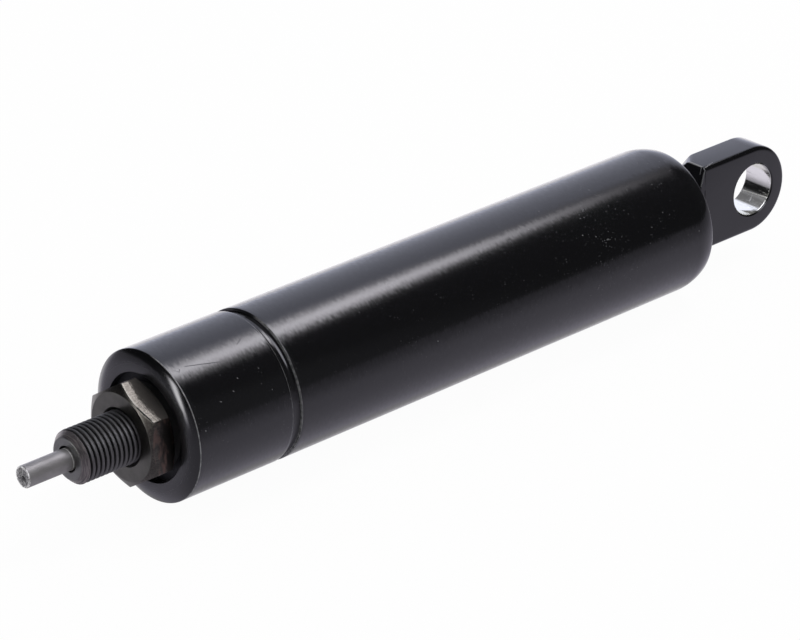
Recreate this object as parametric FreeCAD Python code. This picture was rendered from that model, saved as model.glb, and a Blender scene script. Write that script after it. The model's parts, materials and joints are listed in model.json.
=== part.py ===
"""Steering damper: a sealed pressure tube with a welded eye, and a hollow rod with a release pin.

The origin is the centre of the eye's bore. X runs along the damper's axis towards the rod's free end,
Y along the eye's bore and Z up. The rod is drawn pushed all the way in. Lengths are in millimetres.
"""

import FreeCAD, Part
import math
import os

from FreeCAD import Vector

# Clearances, each on the radius or on one face
running_gap = 0.05
seat_gap = 0.02
ring_side_gap = 0.1
stop_gap = 0.3

# Pressure tube
tube_dia = 28.0
tube_wall = 1.5
closed_end_x = 20.7
crown_radius = 10.0
crown_angle = 22.0
end_corner_radius = 1.2
end_inner_radius = 3.0
mouth_x = 147.0
mouth_dia = 20.0
rim_setback = 1.03
lip_land = 0.4
lip_edge_radius = 0.2
bead_setback = 22.85
bead_width = 1.8
bead_depth = 0.8

# Eye lug, its neck and the weld
eye_bore_dia = 10.2
eye_bore_chamfer = 0.3
eye_width = 17.3
eye_thickness = 7.0
eye_edge_radius = 0.9
lug_base_x = 13.4
lug_base_crown = 1.6
neck_dia = 6.4
weld_leg = 2.0
weld_bulge = 0.3

# Piston rod
rod_dia = 10.0
thread_dia = 9.84
thread_runout = 0.3
thread_root_width = 0.7
thread_root_depth = 0.6
free_thread = 11.6
nose_chamfer = 1.1
nose_counterbore_dia = 4.7
nose_counterbore_depth = 1.5
spigot_dia = 8.0
spigot_length = 9.0
spigot_chamfer = 0.4
stem_seal_recess_dia = 6.2
stem_seal_recess_depth = 1.8

# Release pin and valve tappet
pin_dia = 4.0
pin_standout = 9.4
pin_tip_chamfer = 0.25
tappet_stem_dia = 3.0
tappet_head_dia = 7.2
tappet_head_thickness = 1.6
tappet_head_rounding = 0.5
stem_engagement = 3.5

# Jam nut
nut_across_flats = 17.0
nut_thickness = 5.0
nut_standout = 5.0
nut_face_dia = 16.2
nut_chamfer_angle = 30.0
nut_countersink = 0.5
nut_roll = 3.3

# Guide package between the bead and the rolled lip
support_washer_thickness = 2.0
support_washer_bore_gap = 0.4
seal_length = 6.0
seal_throat_gap = 0.3
seal_lip_depth = 3.0
seal_lip_thickness = 2.0
guide_shoulder = 1.5
guide_throat_gap = 0.3
guide_chamfer = 0.4
bush_wall = 0.95
wiper_dia = 16.0
wiper_length = 3.0
wiper_lip_relief = 0.8
guide_ring_section = 2.4
guide_ring_offset = 5.0

# Piston group
stroke = 40.0
stop_length = 4.0
stop_dia = 18.0
piston_length = 12.0
piston_gap = 0.2
piston_chamfer = 0.5
piston_boss_dia = 16.0
piston_boss_length = 6.0
piston_ring_width = 2.8
piston_ring_thickness = 1.25
piston_ring_offset = 4.5
energiser_section = 2.0
valve_cavity_dia = 13.0
valve_cavity_depth = 8.0
valve_chamber_dia = 5.2
valve_chamber_length = 2.6
seat_seal_section = 1.2
seat_seal_dia = 5.4
stem_seal_section = 1.4
retainer_thickness = 1.0
retainer_offset = 0.8
retainer_depth = 0.7
retainer_width = 2.0
port_dia = 1.6
port_count = 4

# Separator piston between the gas and the oil
separator_x = 38.0
separator_length = 12.0
separator_cup_dia = 16.0
separator_cup_depth = 8.0
separator_ring_section = 2.4
separator_ring_offset = 3.0

# Sizes that follow from those above
AXIS = Vector(1, 0, 0)
CROSS = Vector(0, 1, 0)
ORIGIN = Vector(0, 0, 0)

tube_r = tube_dia / 2
bore_r = tube_r - tube_wall
rod_r = rod_dia / 2
pin_r = pin_dia / 2
stem_r = tappet_stem_dia / 2
rod_bore_r = pin_r + running_gap
slide_r = rod_r + running_gap
seated_r = bore_r - seat_gap

crown_turn = math.radians(crown_angle)
crown_x = closed_end_x + end_corner_radius + (crown_radius - end_corner_radius) * math.sin(crown_turn)
crown_centre_r = tube_r - crown_radius
end_flat_r = crown_centre_r + (crown_radius - end_corner_radius) * math.cos(crown_turn)
lip_r = mouth_dia / 2 + lip_land
rim_r = ((tube_r - lip_r) ** 2 + rim_setback ** 2) / (2 * rim_setback)

bead_x = mouth_x - bead_setback
bead_r = (bead_width ** 2 / 4 + bead_depth ** 2) / (2 * bead_depth)
bead_centre_r = tube_r - bead_depth + bead_r
ridge_r = bead_r + tube_wall
ridge_half = math.sqrt(ridge_r ** 2 - (bead_centre_r - bore_r) ** 2)

washer_x = bead_x + ridge_half
seal_x = washer_x + support_washer_thickness
guide_x = seal_x + seal_length
guide_front_x = mouth_x - tube_wall
wiper_x = guide_front_x - wiper_length
bush_r = slide_r + bush_wall

nut_face_x = mouth_x + nut_standout
nut_back_x = nut_face_x - nut_thickness
thread_start_x = nut_back_x - thread_runout
nose_x = nut_face_x + free_thread
pin_tip_x = nose_x + pin_standout

stop_front_x = washer_x - stroke - stop_gap
rod_shoulder_x = stop_front_x - stop_length
piston_front_x = rod_shoulder_x - piston_boss_length
piston_back_x = piston_front_x - piston_length
piston_r = bore_r - piston_gap
piston_ring_x = piston_back_x + piston_ring_offset
spigot_x = rod_shoulder_x - spigot_length
spigot_r = spigot_dia / 2
cavity_r = valve_cavity_dia / 2
cavity_end_x = piston_back_x + valve_cavity_depth
retainer_x = piston_back_x + retainer_offset
valve_x = retainer_x + retainer_thickness
stem_end_x = spigot_x + stem_seal_recess_depth + stem_engagement
separator_end_x = separator_x + separator_length


def half_section(*steps):
    """Draws a closed face beside the axis.

    A step of two numbers is a corner, x and r. A third number rounds that corner. A step of four numbers
    is an arc: a point on it and then its end.
    """
    corners = [Vector(step[-2], 0, step[-1]) if len(step) == 4 else Vector(step[0], 0, step[1]) for step in steps]
    arrive, leave, roundings = [], [], []
    for i, step in enumerate(steps):
        corner = corners[i]
        if len(step) != 3:
            arrive.append(corner)
            leave.append(corner)
            continue
        back = (corners[i - 1] - corner).normalize()
        ahead = (corners[(i + 1) % len(corners)] - corner).normalize()
        half_angle = back.getAngle(ahead) / 2
        reach = step[2] / math.tan(half_angle)
        middle = (back + ahead).normalize() * (step[2] / math.sin(half_angle) - step[2])
        arrive.append(corner + back * reach)
        leave.append(corner + ahead * reach)
        roundings.append((arrive[i], corner + middle, leave[i]))
    edges = [Part.Arc(*points).toShape() for points in roundings]
    for i, step in enumerate(steps):
        if len(step) == 4:
            edges.append(Part.Arc(leave[i - 1], Vector(step[0], 0, step[1]), arrive[i]).toShape())
        elif (arrive[i] - leave[i - 1]).Length > 1e-6:
            edges.append(Part.LineSegment(leave[i - 1], arrive[i]).toShape())
    return Part.Face(Part.Wire(Part.__sortEdges__(edges)))


def turned(*steps):
    """Turns a half section about the damper's axis."""
    return half_section(*steps).revolve(ORIGIN, AXIS, 360)


def ring(start_x, end_x, inner_r, outer_r):
    """Makes a plain ring about the axis."""
    return turned((start_x, inner_r), (end_x, inner_r), (end_x, outer_r), (start_x, outer_r))


def round_ring(x, outer_r, section):
    """Makes a ring of round section with this outer radius."""
    return Part.makeTorus(outer_r - section / 2, section / 2, Vector(x, 0, 0), AXIS)


def groove(x, outer_r, section):
    """Makes the ring-shaped space that a ring of round section lies in, open outwards."""
    half_width = section / 2 + ring_side_gap
    return ring(x - half_width, x + half_width, outer_r - section - seat_gap, outer_r + section)


def on_arc(centre_x, centre_r, radius, turn):
    """Gives the point of an arc beside the axis whose outward direction leans this far from the axis's square."""
    return centre_x + radius * math.sin(turn), centre_r + radius * math.cos(turn)


def pressure_tube():
    """The drawn tube: a crowned closed end, a rolled bead and a lip rolled in over the guide."""
    edge_half = bead_width / 2
    mouth_r = mouth_dia / 2
    corner_x = closed_end_x + end_corner_radius
    corner_turn = (math.pi / 2 + crown_turn) / 2
    rim_turn = math.atan2(tube_r - lip_r, rim_r - rim_setback)
    return turned(
        (closed_end_x, 0),
        (closed_end_x, end_flat_r),
        (*on_arc(corner_x, end_flat_r, end_corner_radius, -corner_turn), *on_arc(corner_x, end_flat_r, end_corner_radius, -crown_turn)),
        (*on_arc(crown_x, crown_centre_r, crown_radius, -crown_turn / 2), crown_x, tube_r),
        (bead_x - edge_half, tube_r),
        (bead_x, tube_r - bead_depth, bead_x + edge_half, tube_r),
        (mouth_x - rim_setback, tube_r),
        (*on_arc(mouth_x - rim_r, lip_r, rim_r, (math.pi - rim_turn) / 2), mouth_x, lip_r),
        (mouth_x, mouth_r, lip_edge_radius),
        (guide_front_x, mouth_r),
        (guide_front_x, bore_r),
        (bead_x + ridge_half, bore_r),
        (bead_x, bead_centre_r - ridge_r, bead_x - ridge_half, bore_r),
        (closed_end_x + tube_wall, bore_r, end_inner_radius),
        (closed_end_x + tube_wall, 0),
    )


def eye_lug():
    """The flat eye: a plate with a round end, a bore across it, a crowned base and the neck that is welded to the tube."""
    half = eye_width / 2
    side = Vector(0, -eye_thickness / 2, 0)
    round_end = Part.Arc(Vector(0, 0, half), Vector(-half, 0, 0), Vector(0, 0, -half))
    lower = Part.LineSegment(Vector(0, 0, -half), Vector(lug_base_x, 0, -half))
    base = Part.Arc(Vector(lug_base_x, 0, -half), Vector(lug_base_x + lug_base_crown, 0, 0), Vector(lug_base_x, 0, half))
    upper = Part.LineSegment(Vector(lug_base_x, 0, half), Vector(0, 0, half))
    outline = Part.Wire([curve.toShape() for curve in (round_end, lower, base, upper)])
    plate = Part.Face(outline).extrude(CROSS * eye_thickness).translated(side)
    sharp = [edge for edge in plate.Edges if not (edge.BoundBox.YLength > 1e-3 and edge.BoundBox.XMax < 1e-3)]
    plate = plate.makeFillet(eye_edge_radius, sharp)
    neck_x = lug_base_x - eye_edge_radius
    neck = Part.makeCylinder(neck_dia / 2, closed_end_x - neck_x, Vector(neck_x, 0, 0), AXIS)
    bore_r_eye = eye_bore_dia / 2
    wide_r = bore_r_eye + eye_bore_chamfer
    bore = Part.makeCylinder(bore_r_eye, eye_thickness, side, CROSS)
    chamfers = [
        Part.makeCone(wide_r, bore_r_eye, eye_bore_chamfer, side, CROSS),
        Part.makeCone(wide_r, bore_r_eye, eye_bore_chamfer, -side, -CROSS),
    ]
    return plate.fuse(neck).removeSplitter().cut([bore] + chamfers)


def weld_bead():
    """The weld round the neck where it meets the tube's end, a fillet with a rounded face."""
    neck_r = neck_dia / 2
    start_x = closed_end_x - weld_leg
    push = weld_leg / 2 + weld_bulge / math.sqrt(2)
    return turned(
        (start_x, neck_r),
        (closed_end_x, neck_r),
        (closed_end_x, neck_r + weld_leg),
        (closed_end_x - push, neck_r + push, start_x, neck_r),
    )


def piston_rod():
    """The hollow rod: a spigot for the piston, the plain ground length and the threaded end.

    The thread is drawn by its crest, with one root as a ring where the free thread starts at the nut's face.
    """
    thread_r = thread_dia / 2
    recess_r = stem_seal_recess_dia / 2
    mouth_r = nose_counterbore_dia / 2
    return turned(
        (spigot_x, recess_r),
        (spigot_x, spigot_r - spigot_chamfer),
        (spigot_x + spigot_chamfer, spigot_r),
        (rod_shoulder_x, spigot_r),
        (rod_shoulder_x, rod_r),
        (thread_start_x, rod_r),
        (thread_start_x + rod_r - thread_r, thread_r),
        (nut_face_x, thread_r),
        (nut_face_x + thread_root_width / 2, thread_r - thread_root_depth),
        (nut_face_x + thread_root_width, thread_r),
        (nose_x - nose_chamfer, thread_r),
        (nose_x, thread_r - nose_chamfer),
        (nose_x, mouth_r),
        (nose_x - nose_counterbore_depth, mouth_r),
        (nose_x - nose_counterbore_depth, rod_bore_r),
        (spigot_x + stem_seal_recess_depth, rod_bore_r),
        (spigot_x + stem_seal_recess_depth, recess_r),
    )


def release_pin():
    """The pin that is pushed in at the rod's free end to open the valve."""
    return turned(
        (stem_end_x, 0),
        (stem_end_x, pin_r),
        (pin_tip_x - pin_tip_chamfer, pin_r),
        (pin_tip_x, pin_r - pin_tip_chamfer),
        (pin_tip_x, 0),
    )


def jam_nut():
    """The thin hexagon nut on the rod's thread, chamfered on both faces."""
    corner_r = nut_across_flats / math.sqrt(3)
    angles = [math.radians(90 + nut_roll + 60 * i) for i in range(7)]
    corners = [Vector(nut_back_x, corner_r * math.cos(a), corner_r * math.sin(a)) for a in angles]
    prism = Part.Face(Part.makePolygon(corners)).extrude(AXIS * nut_thickness)
    face_r = nut_face_dia / 2
    depth = (corner_r - face_r) * math.tan(math.radians(nut_chamfer_angle))
    blank = turned(
        (nut_back_x, 0),
        (nut_back_x, face_r),
        (nut_back_x + depth, corner_r),
        (nut_face_x - depth, corner_r),
        (nut_face_x, face_r),
        (nut_face_x, 0),
    )
    hole_r = thread_dia / 2 + running_gap
    hole = turned(
        (nut_back_x, 0),
        (nut_back_x, hole_r + nut_countersink),
        (nut_back_x + nut_countersink, hole_r),
        (nut_face_x - nut_countersink, hole_r),
        (nut_face_x, hole_r + nut_countersink),
        (nut_face_x, 0),
    )
    return prism.common(blank).cut(hole)


def wiper_ring():
    """The dust wiper in the guide's front recess, with one lip on the rod."""
    wiper_r = wiper_dia / 2 - seat_gap
    return turned(
        (wiper_x, slide_r + wiper_lip_relief),
        (guide_front_x, slide_r),
        (guide_front_x, slide_r + wiper_lip_relief),
        (guide_front_x - wiper_lip_relief, wiper_r),
        (wiper_x, wiper_r),
    )


def rod_guide():
    """The guide: a turned body with a seat for the bush, a recess for the wiper and a ring groove."""
    wiper_r = wiper_dia / 2
    throat_r = rod_r + guide_throat_gap
    body = turned(
        (guide_x, throat_r),
        (guide_x, seated_r - guide_chamfer),
        (guide_x + guide_chamfer, seated_r),
        (guide_front_x, seated_r),
        (guide_front_x, wiper_r),
        (wiper_x, wiper_r),
        (wiper_x, bush_r),
        (guide_x + guide_shoulder, bush_r),
        (guide_x + guide_shoulder, throat_r),
    )
    return body.cut(groove(guide_x + guide_ring_offset, seated_r, guide_ring_section))


def guide_bush():
    """The plain bearing bush in the guide."""
    return ring(guide_x + guide_shoulder, wiper_x, slide_r, bush_r - seat_gap)


def guide_o_ring():
    """The static seal between the guide and the tube."""
    return round_ring(guide_x + guide_ring_offset, seated_r, guide_ring_section)


def rod_seal():
    """The main seal, with a groove on the oil side that spreads its two lips."""
    throat_r = rod_r + seal_throat_gap
    root_x = seal_x + seal_lip_depth
    return turned(
        (seal_x, slide_r),
        (seal_x, slide_r + seal_lip_thickness / 2),
        (root_x, throat_r + seal_lip_thickness),
        (root_x, seated_r - seal_lip_thickness),
        (seal_x, seated_r - seal_lip_thickness / 2),
        (seal_x, seated_r),
        (guide_x, seated_r),
        (guide_x, throat_r),
        (root_x, throat_r),
    )


def support_washer():
    """The steel washer that the bead holds against the seal."""
    return ring(washer_x, seal_x, rod_r + support_washer_bore_gap, seated_r)


def rebound_stop():
    """The plastic ring on the rod that meets the washer at full extension."""
    return ring(rod_shoulder_x, stop_front_x, rod_r + seat_gap, stop_dia / 2)


def piston_body():
    """The piston: a ring groove, a cavity for the valve and a boss that the rod's spigot screws into."""
    socket_r = spigot_r + seat_gap
    groove_end_x = piston_ring_x + piston_ring_width + 2 * ring_side_gap
    ring_inner_r = bore_r - running_gap - piston_ring_thickness
    groove_r = ring_inner_r - energiser_section - ring_side_gap
    retainer_r = cavity_r + retainer_depth
    retainer_end_x = valve_x + ring_side_gap
    body = turned(
        (piston_back_x, cavity_r),
        (piston_back_x, piston_r - piston_chamfer),
        (piston_back_x + piston_chamfer, piston_r),
        (piston_ring_x, piston_r),
        (piston_ring_x, groove_r),
        (groove_end_x, groove_r),
        (groove_end_x, piston_r),
        (piston_front_x - piston_chamfer, piston_r),
        (piston_front_x, piston_r - piston_chamfer),
        (piston_front_x, piston_boss_dia / 2),
        (rod_shoulder_x, piston_boss_dia / 2),
        (rod_shoulder_x, socket_r),
        (cavity_end_x, socket_r),
        (cavity_end_x, cavity_r),
        (retainer_end_x, cavity_r),
        (retainer_end_x, retainer_r),
        (retainer_x, retainer_r),
        (retainer_x, cavity_r),
    )
    port_x = (cavity_end_x + spigot_x) / 2
    for i in range(port_count):
        turn = 2 * math.pi * i / port_count
        outward = Vector(0, math.cos(turn), math.sin(turn))
        body = body.cut(Part.makeCylinder(port_dia / 2, tube_r, Vector(port_x, 0, 0), outward))
    return body


def piston_ring():
    """The sliding band that runs on the tube's wall."""
    outer_r = bore_r - running_gap
    start_x = piston_ring_x + ring_side_gap
    return ring(start_x, start_x + piston_ring_width, outer_r - piston_ring_thickness, outer_r)


def piston_energiser():
    """The rubber ring under the band that presses it outwards."""
    outer_r = bore_r - running_gap - piston_ring_thickness - ring_side_gap + seat_gap
    return round_ring(piston_ring_x + ring_side_gap + piston_ring_width / 2, outer_r, energiser_section)


def valve_body():
    """The sleeve in the piston that the tappet runs in, with its chamber and the seat seal's groove."""
    outer_r = cavity_r - seat_gap
    stem_hole_r = stem_r + running_gap
    chamber_r = valve_chamber_dia / 2
    chamber_x = cavity_end_x - valve_chamber_length
    seal_r = seat_seal_dia / 2
    half_width = seat_seal_section / 2 + seat_gap
    return turned(
        (valve_x, stem_hole_r),
        (valve_x, seal_r - half_width),
        (valve_x + seat_seal_section, seal_r - half_width),
        (valve_x + seat_seal_section, seal_r + half_width),
        (valve_x, seal_r + half_width),
        (valve_x, outer_r),
        (cavity_end_x, outer_r),
        (cavity_end_x, chamber_r),
        (chamber_x, chamber_r),
        (chamber_x, stem_hole_r),
    )


def valve_retainer():
    """The retaining ring that keeps the valve body in the piston."""
    outer_r = cavity_r + retainer_depth - seat_gap
    return ring(retainer_x, valve_x, outer_r - retainer_width, outer_r)


def seat_seal():
    """The rubber ring that the tappet's head closes on."""
    return round_ring(valve_x + seat_seal_section / 2, (seat_seal_dia + seat_seal_section) / 2, seat_seal_section)


def stem_seal():
    """The rubber ring that keeps the oil out of the rod's channel."""
    outer_r = stem_r + running_gap + stem_seal_section
    return round_ring(spigot_x + stem_seal_section / 2 + ring_side_gap, outer_r, stem_seal_section)


def valve_tappet():
    """The valve's plunger: a head on the seat, and a stem that the pin pushes."""
    head_end_x = valve_x - running_gap
    head_x = head_end_x - tappet_head_thickness
    return turned(
        (head_x, 0),
        (head_x, tappet_head_dia / 2, tappet_head_rounding),
        (head_end_x, tappet_head_dia / 2),
        (head_end_x, stem_r),
        (stem_end_x, stem_r),
        (stem_end_x, 0),
    )


def separator_ring_places():
    """Gives the places along the axis of the separator's two rings."""
    return separator_x + separator_ring_offset, separator_end_x - separator_ring_offset


def separator_piston():
    """The floating cup between the gas and the oil, open towards the gas."""
    cup_r = separator_cup_dia / 2
    cup_end_x = separator_x + separator_cup_depth
    body = turned(
        (separator_x, cup_r),
        (separator_x, piston_r, piston_chamfer),
        (separator_end_x, piston_r, piston_chamfer),
        (separator_end_x, 0),
        (cup_end_x, 0),
        (cup_end_x, cup_r),
    )
    for x in separator_ring_places():
        body = body.cut(groove(x, bore_r - running_gap, separator_ring_section))
    return body


def separator_o_ring(place):
    """One of the separator's seals on the tube's wall."""
    return round_ring(separator_ring_places()[place], bore_r - running_gap, separator_ring_section)


PIECES = {
    "pressure_tube": pressure_tube(),
    "eye_lug": eye_lug(),
    "weld_bead": weld_bead(),
    "support_washer": support_washer(),
    "rod_seal": rod_seal(),
    "rod_guide": rod_guide(),
    "guide_bush": guide_bush(),
    "guide_o_ring": guide_o_ring(),
    "wiper_ring": wiper_ring(),
    "piston_ring": piston_ring(),
    "piston_rod": piston_rod(),
    "rebound_stop": rebound_stop(),
    "piston_body": piston_body(),
    "piston_energiser": piston_energiser(),
    "valve_body": valve_body(),
    "valve_retainer": valve_retainer(),
    "seat_seal": seat_seal(),
    "stem_seal": stem_seal(),
    "jam_nut": jam_nut(),
    "release_pin": release_pin(),
    "valve_tappet": valve_tappet(),
    "separator_piston": separator_piston(),
    "separator_o_ring_gas": separator_o_ring(0),
    "separator_o_ring_oil": separator_o_ring(1),
}

os.makedirs("parts", exist_ok=True)
for name, shape in PIECES.items():
    shape.exportStep(f"parts/{name}.step")
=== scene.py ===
"""The looks of a steering damper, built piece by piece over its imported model.

The frame is the model's own: the origin is the centre of the eye's bore, X runs along the damper to the rod's
free end, Y along the bore and Z up. Sizes in the classes are millimetres and become metres as they are used.
"""

import json
import logging
import math
from dataclasses import dataclass
from enum import Enum
from typing import Any, Callable, Sequence

import bmesh
import bpy
from mathutils import Matrix, Vector


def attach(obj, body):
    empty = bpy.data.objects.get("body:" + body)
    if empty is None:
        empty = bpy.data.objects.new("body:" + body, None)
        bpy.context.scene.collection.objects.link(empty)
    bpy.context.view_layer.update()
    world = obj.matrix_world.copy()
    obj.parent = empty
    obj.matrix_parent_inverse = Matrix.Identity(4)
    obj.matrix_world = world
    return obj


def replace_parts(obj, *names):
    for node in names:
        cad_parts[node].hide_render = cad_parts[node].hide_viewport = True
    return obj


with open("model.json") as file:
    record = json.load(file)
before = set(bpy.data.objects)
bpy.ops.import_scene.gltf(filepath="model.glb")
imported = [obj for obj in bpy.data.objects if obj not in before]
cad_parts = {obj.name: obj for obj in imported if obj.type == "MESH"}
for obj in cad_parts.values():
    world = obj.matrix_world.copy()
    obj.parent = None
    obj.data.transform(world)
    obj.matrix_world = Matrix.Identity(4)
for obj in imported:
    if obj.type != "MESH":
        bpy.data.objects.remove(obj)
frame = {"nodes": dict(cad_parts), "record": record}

LOG = logging.getLogger("damper")
MM = 0.001
Colour = tuple[float, float, float]
Place = tuple[float, float, float]


class Part(Enum):
    """What a selection in edit mode is made of."""

    VERTEX = "VERT"
    EDGE = "EDGE"


class Join(Enum):
    """How a second solid changes the first."""

    ADD = "UNION"
    TAKE = "DIFFERENCE"
    KEEP = "INTERSECT"


@dataclass(frozen=True)
class Corner:
    """A corner of an outline beside the damper's axis.

    x is the place along the axis, r the radius, and cut the distance from the corner at which its rounding starts.
    """

    x: float
    r: float
    cut: float = 0.0
    segments: int = 6

    @classmethod
    def bow(cls, x: float, r: float, radius: float, start: float, end: float, steps: int) -> list["Corner"]:
        """Gives corners along an arc.

        Args:
            x: The place of the arc's centre along the axis.
            r: The centre's distance from the axis.
            radius: The arc's radius.
            start: The lean of its first point from square to the axis, in degrees.
            end: The lean of its last point.
            steps: How many straight steps it has.

        Returns:
            The corners in order.
        """
        leans = [math.radians(start + (end - start) * i / steps) for i in range(steps + 1)]
        return [cls(x + radius * math.sin(lean), r + radius * math.cos(lean)) for lean in leans]


class Bench:
    """The modelling steps that the pieces share."""

    @staticmethod
    def clear() -> None:
        """Leaves edit mode and drops every selection."""
        if bpy.context.object and bpy.context.object.mode != "OBJECT":
            bpy.ops.object.mode_set(mode="OBJECT")
        bpy.ops.object.select_all(action="DESELECT")

    @staticmethod
    def hold(piece: bpy.types.Object) -> None:
        """Makes one piece the only one selected.

        Args:
            piece: The piece to hold.
        """
        Bench.clear()
        piece.select_set(True)
        bpy.context.view_layer.objects.active = piece

    @staticmethod
    def edit(piece: bpy.types.Object) -> None:
        """Opens a piece in edit mode."""
        Bench.hold(piece)
        bpy.ops.object.mode_set(mode="EDIT")

    @staticmethod
    def named(name: str) -> bpy.types.Object:
        """Names the primitive that was just added.

        Args:
            name: Its name.

        Returns:
            The primitive.
        """
        piece = bpy.context.object
        piece.name = piece.data.name = name
        return piece

    @staticmethod
    def settle(piece: bpy.types.Object) -> None:
        """Puts a piece's place, turn and scale into its mesh."""
        Bench.hold(piece)
        bpy.ops.object.transform_apply(location=True, rotation=True, scale=True)

    @staticmethod
    def pick(piece: bpy.types.Object, part: Part, test: Callable[[Vector], bool]) -> int:
        """Selects parts of the piece that is open in edit mode by their place.

        Args:
            piece: The open piece.
            part: What to select. An edge is judged by its middle.
            test: Says whether a place belongs to the selection.

        Returns:
            How many parts were selected.
        """
        bpy.ops.mesh.select_mode(type=part.value)
        bpy.ops.mesh.select_all(action="DESELECT")
        mesh = bmesh.from_edit_mesh(piece.data)
        if part is Part.VERTEX:
            found = [v for v in mesh.verts if test(v.co)]
        else:
            found = [e for e in mesh.edges if test((e.verts[0].co + e.verts[1].co) / 2)]
        for item in found:
            item.select_set(True)
        mesh.select_flush_mode()
        bmesh.update_edit_mesh(piece.data)
        return len(found)

    @staticmethod
    def heal() -> None:
        """Merges doubles in the open piece and turns its faces outwards."""
        bpy.ops.mesh.select_mode(type="VERT")
        bpy.ops.mesh.select_all(action="SELECT")
        bpy.ops.mesh.remove_doubles(threshold=1e-7)
        bpy.ops.mesh.normals_make_consistent(inside=False)

    @staticmethod
    def draw(name: str, outline: Sequence[Corner], closed: bool = False) -> bpy.types.Object:
        """Draws an outline as a line of edges and leaves it open in edit mode.

        Args:
            name: The piece's name.
            outline: Its corners in order.
            closed: Whether the last corner is joined to the first.

        Returns:
            The new piece.
        """
        Bench.clear()
        bpy.ops.mesh.primitive_plane_add(size=MM)
        piece = Bench.named(name)
        bpy.ops.object.mode_set(mode="EDIT")
        bpy.ops.mesh.select_mode(type="VERT")
        bpy.ops.mesh.select_all(action="SELECT")
        bpy.ops.mesh.merge(type="CENTER")
        here = outline[0]
        bpy.ops.transform.translate(value=(here.x * MM, 0, here.r * MM))
        for there in outline[1:]:
            step = ((there.x - here.x) * MM, 0, (there.r - here.r) * MM)
            bpy.ops.mesh.extrude_region_move(TRANSFORM_OT_translate={"value": step})
            here = there
        ends = [Vector((c.x * MM, 0, c.r * MM)) for c in (outline[0], outline[-1])]
        if closed:
            Bench.pick(piece, Part.VERTEX, lambda co: min((co - end).length for end in ends) < 1e-7)
            bpy.ops.mesh.edge_face_add()
        for corner in (c for c in outline if c.cut):
            at = Vector((corner.x * MM, 0, corner.r * MM))
            Bench.pick(piece, Part.VERTEX, lambda co, at=at: (co - at).length < 1e-6)
            bpy.ops.mesh.bevel(offset=corner.cut * MM, segments=corner.segments, profile=0.5, affect="VERTICES")
        return piece

    @staticmethod
    def turn(name: str, outline: Sequence[Corner], steps: int = 192, closed: bool = False) -> bpy.types.Object:
        """Turns an outline about the damper's axis.

        Args:
            name: The piece's name.
            outline: The half section's corners.
            steps: How many faces go round.
            closed: Whether the half section stands clear of the axis.

        Returns:
            The turned piece.
        """
        piece = Bench.draw(name, outline, closed)
        bpy.ops.mesh.select_all(action="SELECT")
        bpy.ops.mesh.spin(steps=steps, angle=2 * math.pi, center=(0, 0, 0), axis=(1, 0, 0))
        Bench.heal()
        Bench.clear()
        return piece

    @staticmethod
    def finish_with(piece: bpy.types.Object, kind: str, **settings: Any) -> None:
        """Adds a modifier to a piece, sets it and applies it.

        Args:
            piece: The piece to change.
            kind: The modifier's type.
            settings: The modifier's properties.
        """
        Bench.hold(piece)
        modifier = piece.modifiers.new(kind.lower(), kind)
        for key, value in settings.items():
            setattr(modifier, key, value)
        bpy.ops.object.modifier_apply(modifier=modifier.name)

    @staticmethod
    def join(piece: bpy.types.Object, tool: bpy.types.Object, how: Join) -> None:
        """Adds, takes or keeps what a second solid shares with a piece, and removes the second."""
        Bench.finish_with(piece, "BOOLEAN", object=tool, operation=how.value, solver="EXACT")
        bpy.data.objects.remove(tool, do_unlink=True)

    @staticmethod
    def smooth(piece: bpy.types.Object, degrees: float = 30.0) -> None:
        """Shades a piece smooth, apart from edges that turn by more than the angle."""
        Bench.hold(piece)
        bpy.ops.object.shade_smooth_by_angle(angle=math.radians(degrees))


class Signal:
    """A shader socket that can stand in a sum."""

    def __init__(self, graph: "Graph", socket: bpy.types.NodeSocket) -> None:
        """Wraps a socket of a graph."""
        self.graph = graph
        self.socket = socket

    def __add__(self, other: "Signal | float") -> "Signal":
        """Adds a value."""
        return self.graph.maths("ADD", self, other)

    def __sub__(self, other: "Signal | float") -> "Signal":
        """Takes a value off."""
        return self.graph.maths("SUBTRACT", self, other)

    def __mul__(self, other: "Signal | float") -> "Signal":
        """Multiplies by a value."""
        return self.graph.maths("MULTIPLY", self, other)

    def __truediv__(self, other: "Signal | float") -> "Signal":
        """Divides by a value."""
        return self.graph.maths("DIVIDE", self, other)

    def __abs__(self) -> "Signal":
        """Drops the sign."""
        return self.graph.maths("ABSOLUTE", self)

    def __gt__(self, other: "Signal | float") -> "Signal":
        """Gives one where this is the greater."""
        return self.graph.maths("GREATER_THAN", self, other)

    def __lt__(self, other: "Signal | float") -> "Signal":
        """Gives one where this is the lesser."""
        return self.graph.maths("LESS_THAN", self, other)

    def __radd__(self, other: float) -> "Signal":
        """Adds this to a number."""
        return self.graph.maths("ADD", other, self)

    def __rsub__(self, other: float) -> "Signal":
        """Takes this off a number."""
        return self.graph.maths("SUBTRACT", other, self)

    def __rmul__(self, other: float) -> "Signal":
        """Multiplies a number by this."""
        return self.graph.maths("MULTIPLY", other, self)

    def __rtruediv__(self, other: float) -> "Signal":
        """Divides a number by this."""
        return self.graph.maths("DIVIDE", other, self)


Value = Signal | float | int | Sequence[float]


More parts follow.
